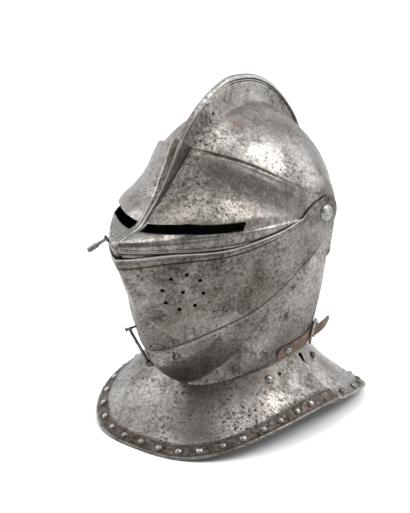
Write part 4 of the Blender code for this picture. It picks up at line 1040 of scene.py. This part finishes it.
def gorget_mesh(name, turns, inset, corner_at):
    """A gorget plate skinned from its sections, with a painted shadow where the rear plate goes in under the
    front and a painted highlight along the front plate's end.
    """
    work = bmesh.new()
    band = work.verts.layers.float.new("border")
    grime_and_shade = work.verts.layers.float.new("dirt_shade_and_sheen")
    rings = []
    for turn in turns:
        ring = []
        for point, in_band in gorget_loop(turn, inset, corner_at(turn)):
            place = gorget_place(point)
            if in_band == 0.0 and place.z > 0.012:
                place.z += hammered(place, RIM_DENT)
            vert = work.verts.new(place)
            vert[band] = in_band
            if inset:
                # A painted shadow on the rear plate, just beyond the front plate's end.
                vert[grime_and_shade] = bell(min(turn, 360 - turn), FRONT_END + 0.9, 1.6)
            else:
                # A painted highlight along the front plate's end.
                vert[grime_and_shade] = -0.8 * bell(abs(turn), FRONT_END, 0.8)
            ring.append(vert)
        rings.append(ring)
    skin(work, rings)
    bmesh.ops.recalc_face_normals(work, faces=work.faces)
    return mesh_from(work, name, 48)


front_steel = aged_steel(
    "gorget_front_steel", stained=1.0,
    rubbed_and_highlights=(((-0.07, -0.09, 0.05), 0.06, 0.12), ((0.0, -0.11, 0.03), 0.05, 0.06)),
    rust=(((0.080, -0.022, 0.062), 0.014, 0.6), ((0.09, -0.05, 0.045), 0.03, 0.35),
          ((0.0, -0.09, 0.055), 0.03, 0.35)))
rear_steel = aged_steel("gorget_rear_steel", stained=0.5, rubbed_and_highlights=(((0.09, 0.06, 0.05), 0.06, 0.10),))
front_turns = ([-FRONT_END, 0.7 - FRONT_END] + steps(1.5 - FRONT_END, FRONT_END - 1.5, 1.5)
               + [FRONT_END - 0.7, FRONT_END])
front_gorget = new_piece(
    "front_gorget_plate", gorget_mesh("front_gorget_plate", front_turns, 0.0, lambda turn: 0.0),
    front_steel, "helmet", ["gorget_front"])
corner_turns = [0.0, 0.15, 0.5, 1.0, 1.7, 2.6, 3.7, 4.9]
rear_turns = ([BACK_END + turn for turn in corner_turns] + steps(BACK_END + 6, BACK_END + 12, 0.5)
              + steps(BACK_END + 13, 347 - BACK_END, 1.6) + steps(348 - BACK_END, 354 - BACK_END, 0.5)
              + [360 - BACK_END - turn for turn in reversed(corner_turns)])
rear_gorget = new_piece(
    "rear_gorget_plate", gorget_mesh("rear_gorget_plate", rear_turns, UNDER, back_corner_cut),
    rear_steel, "helmet", ["gorget_rear"])

# The rivets: steel, with domed heads, in a row along each border, a large one and an open hole beside the
# neck in front, and small ones behind. A slot for the strap is cut beside the neck in the rear plate.
BORDER_RIVET = (0.003565, 0.0029)  # radius and height of the heads
SIDE_RIVET = (0.0045, 0.0033)
NAPE_RIVET = (0.0040, 0.0028)
SIDE_RIVET_PLACE = (66.0, 0.0163)  # turn and distance down the flare
SIDE_HOLE_PLACE = (74.0, 0.0151)
SIDE_HOLE = 0.0019
SLOT_TURN = 97.5
SLOT_DOWN = (0.0065, 0.0175)  # its ends, down the flare
SLOT_HALF = 0.0040
NAPE_TURNS = (113, 150, 210, 247)
NAPE_DOWN = 0.0190


def surface(plate):
    """A plate's outer face, to be searched for the point nearest to another."""
    return BVHTree.FromPolygons([vert.co for vert in plate.data.vertices],
                                [tuple(face.vertices) for face in plate.data.polygons])


def flare_seat(plate, turn, inset, distance):
    """A place on a gorget plate's outer face, and the way out of it there."""
    return surface(plate).find_nearest(gorget_place(on_flare(turn, inset, distance, 0.001)))[:2]


def dome(work, seat, out, radius, height, sides=20):
    """Adds a rivet's domed head, sunk a hair into its seat so that no light shows under it."""
    turn_to = Vector((0, 0, 1)).rotation_difference(out).to_matrix()
    rows = [(radius * math.sin(math.radians(90) * share), height * math.cos(math.radians(90) * share))
            for share in (0.22, 0.45, 0.65, 0.82, 0.94, 1.0)] + [(radius * 0.98, -0.0002)]
    rings = [[work.verts.new(seat + out * height)]]
    for ring_radius, rise in rows:
        ring = []
        for n in range(sides):
            turn = 2 * math.pi * n / sides
            ring.append(work.verts.new(
                seat + turn_to @ Vector((ring_radius * math.cos(turn), ring_radius * math.sin(turn), rise))))
        rings.append(ring)
    for n in range(sides):
        work.faces.new((rings[0][0], rings[1][n], rings[1][(n + 1) % sides]))
    for upper, lower in zip(rings[1:], rings[2:]):
        for n in range(sides):
            m = (n + 1) % sides
            work.faces.new((upper[n], lower[n], lower[m], upper[m]))
    work.faces.new(rings[-1][::-1])


def finished(work, name, sharp=50):
    bmesh.ops.recalc_face_normals(work, faces=work.faces)
    return mesh_from(work, name, sharp)


def rivet_head(name, seat, out, size, finish, node, sides=20):
    """One domed rivet head, as a piece of its own."""
    work = bmesh.new()
    dome(work, seat, out, *size, sides)
    new_piece(name, finished(work, name), finish, "helmet", [node])


def border_seat(tree, turn, inset):
    middle = flare_lines(turn, inset)[5] - (BORDER + BEAD * 1.2) / 2
    return tree.find_nearest(gorget_place(on_flare(turn, inset, middle, 0.0005 - SINK)))[:2]


def border_row(name, plate, nodes, first, last, inset, finish):
    """Rivet heads at equal steps along a sunken border, as one piece. No two are quite the same size."""
    radius, height = BORDER_RIVET
    tree = surface(plate)
    turns = [mix(first, last, n / 200) for n in range(201)]
    places = [border_seat(tree, turn, inset)[0] for turn in turns]
    walked = [0.0]
    for before, after in zip(places, places[1:]):
        walked.append(walked[-1] + (after - before).length)
    work = bmesh.new()
    for number in range(len(nodes)):
        wanted = walked[-1] * number / (len(nodes) - 1)
        nearest = min(range(len(turns)), key=lambda n: abs(walked[n] - wanted))
        seat, out = border_seat(tree, turns[nearest], inset)
        dome(work, seat, out, radius * (1 + 0.06 * math.sin(number * 2.3)), height)
    return new_piece(name, finished(work, name), finish, "helmet", nodes)


dark_fitting = aged_steel("fitting_steel_dark", dark=(0.040, 0.032, 0.026), middle=(0.105, 0.094, 0.082),
                          light=(0.26, 0.25, 0.235))
rivet_steel = aged_steel("rivet_steel", dark=(0.07, 0.06, 0.05), middle=(0.26, 0.25, 0.235),
                         light=(0.50, 0.49, 0.475), age=0.6)
border_row("front_border_rivets", front_gorget, ["front_border_rivet_%02d" % n for n in range(1, 20)],
           -84, 84, 0.0, rivet_steel)
border_row("rear_border_rivets", rear_gorget, ["rear_border_rivet_%02d" % n for n in range(1, 15)],
           101, 259, UNDER, dark_fitting)
for side, word in ((1, "left"), (-1, "right")):
    turn, distance = SIDE_RIVET_PLACE
    seat, out = flare_seat(front_gorget, side * turn, 0.0, distance)
    rivet_head("side_rivet_dome_" + word, seat, out, SIDE_RIVET, rivet_steel, "side_rivet_" + word, 28)
    turn, distance = SIDE_HOLE_PLACE
    seat, out = flare_seat(front_gorget, side * turn, 0.0, distance)
    cut_with(front_gorget, "side_hole_" + word, [rod_body(seat + out * 0.003, seat - out * 0.004, SIDE_HOLE)])
    (upper, out), (lower, out) = (
        flare_seat(rear_gorget, side * SLOT_TURN, UNDER, down) for down in SLOT_DOWN)
    over = (lower - upper).cross(out).normalized() * SLOT_HALF
    corners = [upper - over, upper + over, lower + over, lower - over]
    points = [corner + out * 0.003 for corner in corners] + [corner - out * 0.005 for corner in corners]
    cut_with(rear_gorget, "strap_slot_" + word, [(points, prism_faces(4))])
for number, turn in enumerate(NAPE_TURNS, 1):
    seat, out = flare_seat(rear_gorget, turn, UNDER, NAPE_DOWN)
    rivet_head("nape_rivet_dome_%d" % number, seat, out, NAPE_RIVET, dark_fitting, "nape_rivet_%d" % number)

# The pivots: one broad domed rivet of bright steel each side, which the plates of the head turn on. Its shank
# is hammered over inside.
PIVOT_HEAD = (0.0090, 0.0044)  # radius and height
for side, word in ((1, "left"), (-1, "right")):
    rivet_head("pivot_dome_" + word, Vector((side * VENTAIL_WIDTH, PIVOT_Y, PIVOT_Z)), Vector((side, 0, 0)),
               PIVOT_HEAD, rivet_steel, "pivot_rivet_" + word, 40)

# The lifting peg: a short steel rod, turned with a ribbed knob and riveted to the visor's right cheek. The
# visor is raised by it.
PEG_LENGTH = 0.0260
PEG = 0.0019  # radius
PEG_PLACE = (-3.0, 0.0320)  # angle and distance beside the middle
PEG_WAY = (-0.70, -0.40, -0.59)
RIB_STEP = 0.0016


def turned(name, profile, at, axis, sides, finish, body, nodes):
    """A solid turned about an axis from (radius, height) rows."""
    work = bmesh.new()
    turn_to = Vector((0, 0, 1)).rotation_difference(Vector(axis).normalized()).to_matrix()
    rings = []
    for radius, height in profile:
        count = sides if radius > 0 else 1
        rings.append([work.verts.new(Vector(at) + turn_to @ Vector((
            radius * math.cos(2 * math.pi * n / sides), radius * math.sin(2 * math.pi * n / sides), height)))
            for n in range(count)])
    for upper, lower in zip(rings, rings[1:]):
        for n in range(sides):
            m = (n + 1) % sides
            corners = [upper[n % len(upper)], lower[n % len(lower)],
                       lower[m % len(lower)], upper[m % len(upper)]]
            face = [v for i, v in enumerate(corners) if v not in corners[:i]]
            if len(face) > 2:
                work.faces.new(face)
    if len(rings[-1]) > 1:
        work.faces.new(rings[-1][::-1])
    return new_piece(name, finished(work, name, 55), finish, body, nodes)


peg_at = on_plate(visor_form, *PEG_PLACE, side=-1, lift=0.0012)[0]
ribs = []
for n in range(7):
    at = PEG_LENGTH - 0.0012 - RIB_STEP * n
    ribs += [(PEG * 1.25, at), (PEG * 1.50, at - 0.0004), (PEG * 1.50, at - 0.0010),
             (PEG * 1.25, at - 0.0014)]
peg_tip = [(0, PEG_LENGTH), (PEG * 0.8, PEG_LENGTH - 0.0001), (PEG * 1.25, PEG_LENGTH - 0.0008)]
peg_stem = [(PEG * 0.95, PEG_LENGTH - 0.0135), (PEG * 0.95, 0.0060), (PEG, 0.0042), (PEG * 1.5, 0.0036),
            (PEG * 1.9, 0.0030), (PEG * 1.9, 0.0018)]
turned("lifting_peg_turned", peg_tip + ribs + peg_stem, peg_at, PEG_WAY, 24, dark_fitting,
       "visor", ["lifting_peg"])

# The hook: a steel rod on the right, bent to an eye that turns on a rivet in the lower bevor, and to a crook
# that holds a stud on the upper one.
ROD = 0.0016  # radius
HOOK_EYE = 0.0038  # radius of the eye and the crook
CROOK_LIFT = 0.0050  # of the crook off the upper bevor
STUD_PLACE = (-36.5, 0.0235)
STUD_TOP = CROOK_LIFT + 2 * ROD + 0.0010
hook_base = Vector((-0.0140, -0.0967, 0.0799))
hook_out = Vector((-0.3640, -0.6514, -0.6657)).normalized()
stud_base, stud_out = surface(ventail).find_nearest(on_plate(ventail_form, *STUD_PLACE, -1, 0.001)[0])[:2]


def rounded_line(points, size, cyclic=False):
    """More points along a line, its corners rounded."""
    points = [Vector(point) for point in points]
    count = len(points)
    made = []
    spans = count if cyclic else count - 1
    for n in range(spans):
        p0 = points[n - 1] if cyclic or n else points[n]
        p1, p2 = points[n], points[(n + 1) % count]
        p3 = points[(n + 2) % count] if cyclic or n < count - 2 else p2
        for k in range(size):
            t = k / size
            made.append(0.5 * (2 * p1 + (p2 - p0) * t + (2 * p0 - 5 * p1 + 4 * p2 - p3) * t * t
                               + (3 * p1 - p0 - 3 * p2 + p3) * t ** 3))
    return made if cyclic else made + [points[-1]]


def rod(name, points, radius, finish, body, nodes, cyclic=False, sides=14):
    """A round rod along a line, with round ends or closed in a ring."""
    points = rounded_line(points, 6, cyclic)
    count = len(points)
    ways = []
    for n in range(count):
        before = points[n - 1] if cyclic or n else points[n]
        after = points[(n + 1) % count] if cyclic or n < count - 1 else points[n]
        ways.append((after - before).normalized())
    side = ways[0].orthogonal().normalized()
    work = bmesh.new()
    rings = []
    for n, point in enumerate(points):
        side = (side - ways[n] * side.dot(ways[n])).normalized()
        over = ways[n].cross(side)
        rings.append([work.verts.new(point + (side * math.cos(2 * math.pi * k / sides)
                                              + over * math.sin(2 * math.pi * k / sides)) * radius)
                      for k in range(sides)])
    for n in range(count if cyclic else count - 1):
        first, second = rings[n], rings[(n + 1) % count]
        slip = min(range(sides), key=lambda k: (second[k].co - first[0].co).length) if n == count - 1 else 0
        for k in range(sides):
            m = (k + 1) % sides
            work.faces.new((first[k], first[m], second[(m + slip) % sides], second[(k + slip) % sides]))
    if not cyclic:
        for ring, way, point in ((rings[0], -ways[0], points[0]), (rings[-1], ways[-1], points[-1])):
            tip = work.verts.new(point + way * radius * 0.6)
            for k in range(sides):
                work.faces.new((ring[k], ring[(k + 1) % sides], tip))
    return new_piece(name, finished(work, name), finish, body, nodes)


crook = stud_base + stud_out * (ROD + CROOK_LIFT)
eye = hook_base + hook_out * (ROD + FIT * 3)
hook_way = (crook - eye).normalized()
hook_over = hook_way.cross(hook_out).normalized()
eye_way = hook_out.cross(hook_over).normalized()
hook_line = []
for n in range(5):
    turn = math.radians(20 - 30 * n)
    hook_line.append(crook + (hook_over * math.cos(turn) + hook_way * math.sin(turn)) * HOOK_EYE)
for n in range(9):
    turn = math.radians(90 + 36 * n)
    hook_line.append(eye + (hook_over * math.cos(turn) + eye_way * math.sin(turn)) * HOOK_EYE)
rod("hook_rod", hook_line, ROD, dark_fitting, "hook", ["hook"])
turned("hook_rivet_head", [(0, 0.0030), (0.0016, 0.0028), (0.0032, 0.0020), (0.0042, 0.0008),
                           (0.0043, 0.0004), (HOLE, 0.0002), (HOLE, -2 * ROD - 0.0012)],
       hook_base + hook_out * (2 * ROD + 4 * FIT), hook_out, 24, dark_fitting, "helmet", ["hook_rivet"])
turned("hook_stud_head", [(0, STUD_TOP + 0.0018), (0.0014, STUD_TOP + 0.0017), (0.0026, STUD_TOP + 0.0011),
                          (0.0032, STUD_TOP + 0.0002), (0.0013, STUD_TOP), (0.0013, -0.0004)],
       stud_base, stud_out, 24, dark_fitting, "upper_bevor", ["hook_stud"])

# The strap: brown leather, riveted to the lower bevor on the left and run through a wire buckle, whose short
# leather chape is riveted to the skull. The free end stands off behind.
STRAP = 0.0018  # thickness
STRAP_WIDTH = 0.0142
WIRE = 0.0012  # radius that the leather keeps clear of
WIRE_DRAWN = 0.0015  # radius that shows
BUCKLE_FRONT = 0.0005  # of the frame's front bar behind the pivots
BUCKLE_BACK = 0.0135  # of its back bar
BUCKLE_DROP = 0.1338
BUCKLE_HALF = 0.0090  # half its height
CHAPE_HALF = 0.0055
CHAPE = 0.0012  # thickness
CHAPE_LIP = 0.0042  # of its end behind the bar
PRONG = 0.0008  # radius
STRAP_LINE = (
    # distance behind the pivots, drop below them, lift off the lower bevor
    (-0.0480, 0.1446, 0.0), (-0.0350, 0.1430, 0.0), (-0.0240, 0.1412, 0.0), (-0.0130, 0.1390, 0.0),
    (-0.0040, 0.1368, 0.0), (0.0030, 0.1350, 0.0006), (0.0085, 0.1335, 0.0034), (0.0150, 0.1316, 0.0066),
    (0.0210, 0.1294, 0.0098), (0.0270, 0.1268, 0.0130),
)


def beside(form, y, z):
    """Half-width of a plate's outer face at a place behind and below the pivots."""
    angle = math.degrees(math.atan2(z, -y))
    across, along = form.bends(angle)
    share = clamp(math.hypot(y, z) / form.reach(angle))
    return form.half_width * (1 - share ** along) ** (1 / across)


def along_neck(form, rows, lift, half_width):
    """Frames of a band that lies on a plate beside the neck: middle, across and out for each row.

    The rows are (distance behind the pivots, drop below them, lift off the plate).
    """
    frames = []
    for y, drop, rise in rows:
        low, high = beside(form, y, -drop - half_width), beside(form, y, -drop + half_width)
        bottom = Vector((low, y + PIVOT_Y, PIVOT_Z - drop - half_width))
        top = Vector((high, y + PIVOT_Y, PIVOT_Z - drop + half_width))
        across = (top - bottom).normalized()
        widening = beside(form, y + 0.004, -drop) - beside(form, y - 0.004, -drop)
        ahead = Vector((widening, 0.008, 0)).normalized()
        out = across.cross(ahead)
        out = out if out.x > 0 else -out
        bulge = max(0.0, beside(form, y, -drop) - (low + high) / 2)
        frames.append(((bottom + top) / 2 + out * (lift + rise + bulge + FIT), across, out))
    return frames


def leather_band(name, frames, half_width, thickness, finish, nodes, round_ends):
    """A strap with soft edges, from frames of (middle, across, out), its ends rounded where asked."""
    between = []
    for n in range(len(frames) - 1):
        for k in range(5):
            t = k / 5
            between.append(tuple(mix(a, b, t) for a, b in zip(frames[n], frames[n + 1])))
    between.append(frames[-1])
    middles = [row[0] for row in between]
    eased = [(a + 2 * b + c) / 4 for a, b, c in zip(middles, middles[1:], middles[2:])]
    middles = [middles[0]] + eased + [middles[-1]]
    length = [0.0]
    for before, after in zip(middles, middles[1:]):
        length.append(length[-1] + (after - before).length)
    section = ((-1.0, 0.25), (-0.9, 0.0), (0.0, 0.0), (0.9, 0.0), (1.0, 0.25), (1.0, 0.72), (0.93, 0.95),
               (0.6, 1.0), (0.0, 1.06), (-0.6, 1.0), (-0.93, 0.95), (-1.0, 0.72))
    work = bmesh.new()
    rings = []
    for middle, walked, (_, across, out) in zip(middles, length, between):
        half = half_width
        for ends, from_end in ((round_ends[0], walked), (round_ends[1], length[-1] - walked)):
            if ends and from_end < half_width:
                round_half = math.sqrt(half_width ** 2 - (half_width - from_end) ** 2)
                half = min(half, max(half_width * 0.25, round_half))
        across, out = across.normalized(), out.normalized()
        rings.append([work.verts.new(middle + across * half * a + out * thickness * b) for a, b in section])
    skin(work, rings)
    return new_piece(name, finished(work, name), finish, "helmet", nodes)


def old_leather(name):
    """Dry brown leather, cracked, its tone mottled darker and lighter."""
    hide = Finish(name)
    tone = hide.sum("ADD", hide.sum("MULTIPLY", hide.cloud(90, 6, 0.65), 0.6),
                    hide.sum("MULTIPLY", hide.cloud(600, 4, 0.6), 0.4))
    colour = hide.ramp(tone, (0.38, (0.020, 0.011, 0.007)), (0.50, (0.078, 0.040, 0.025)),
                       (0.62, (0.175, 0.100, 0.063)))
    hide.link(colour, hide.shader.inputs["Base Color"])
    hide.link(hide.ramp(tone, (0.35, 0.75), (0.65, 0.48)), hide.shader.inputs["Roughness"])
    first = hide.bump(hide.cloud(900, 4, 0.6), 0.00020, 0.7)
    hide.bump(hide.cloud(170, 5, 0.6), 0.0004, 0.5, first)
    return hide.material


brown_leather = old_leather("brown_leather")
strap_frames = along_neck(bevor_form, STRAP_LINE, 0.0, STRAP_WIDTH / 2)
leather_band("strap_leather_front", strap_frames, STRAP_WIDTH / 2, STRAP, brown_leather, ["strap_front"],
             (True, True))
middle, across, out = strap_frames[1]
turned("strap_rivet_head_front", [(0, 0.0026), (0.0014, 0.0025), (0.0028, 0.0018), (0.0038, 0.0007),
                                  (0.0040, 0.0002), (0.0034, 0.0)],
       middle + out * STRAP, out, 24, rivet_steel, "helmet", ["strap_rivet_front"])
bar_lift = STRAP + 2 * FIT + WIRE
front_bar = along_neck(bevor_form, [(BUCKLE_FRONT, BUCKLE_DROP + 0.0025, 0.0)], bar_lift, BUCKLE_HALF)[0]
back_bar = along_neck(skull_form, [(BUCKLE_BACK, BUCKLE_DROP - 0.0015, 0.0)], bar_lift, BUCKLE_HALF)[0]
corners = []
for bar, order in ((front_bar, 1), (back_bar, -1)):
    for share in (-1.0, -0.80, 0.80, 1.0)[::order]:
        corners.append(bar[0] + bar[1] * BUCKLE_HALF * share)
inward = (back_bar[0] - front_bar[0]) * 0.14
buckle_line = [corners[0] + inward, corners[1], corners[2], corners[3] + inward,
               corners[4] - inward, corners[5], corners[6], corners[7] - inward]
rod("buckle_wire", buckle_line, WIRE_DRAWN, rivet_steel, "helmet", ["buckle_frame"], cyclic=True)
chape_rows = ((0.0400, 0.0040), (0.0350, 0.0036), (0.0270, 0.0026), (0.0175, 0.0017))
chape_frames = along_neck(skull_form, [(y, BUCKLE_DROP - rise, 0.0) for y, rise in chape_rows],
                          0.0, CHAPE_HALF)
bar, across, out = back_bar
ahead = out.cross(across).normalized()
ahead = ahead if ahead.y < 0 else -ahead
for turn in (-90, -60, -30, 0, 30, 60, 90):
    spoke = ahead * math.cos(math.radians(turn)) + out * math.sin(math.radians(turn))
    chape_frames.append((bar + spoke * (WIRE + FIT + CHAPE), across, -spoke))
chape_frames.append((bar - ahead * CHAPE_LIP + out * (WIRE + FIT + CHAPE), across, -out))
leather_band("strap_leather_rear", chape_frames, CHAPE_HALF, CHAPE, brown_leather, ["strap_rear"],
             (True, False))
middle, across, out = chape_frames[1]
turned("strap_rivet_head_rear", [(0, 0.0020), (0.0012, 0.0019), (0.0023, 0.0013), (0.0031, 0.0005),
                                 (0.0032, 0.0002), (0.0028, 0.0)],
       middle + out * CHAPE, out, 24, rivet_steel, "helmet", ["strap_rivet_rear"])
bar, across, out = back_bar
ahead = (front_bar[0] - back_bar[0]).normalized()
prong_root = bar + ahead * (WIRE + FIT + CHAPE + FIT + PRONG) - out * 0.0012
prong_tip = front_bar[0] + front_bar[2] * (WIRE + PRONG + 3 * FIT) + ahead * 0.0012
prong_line = [prong_root, mix(prong_root, prong_tip, 0.5), prong_tip]
rod("buckle_pin", prong_line, PRONG, rivet_steel, "helmet", ["buckle_prong"])
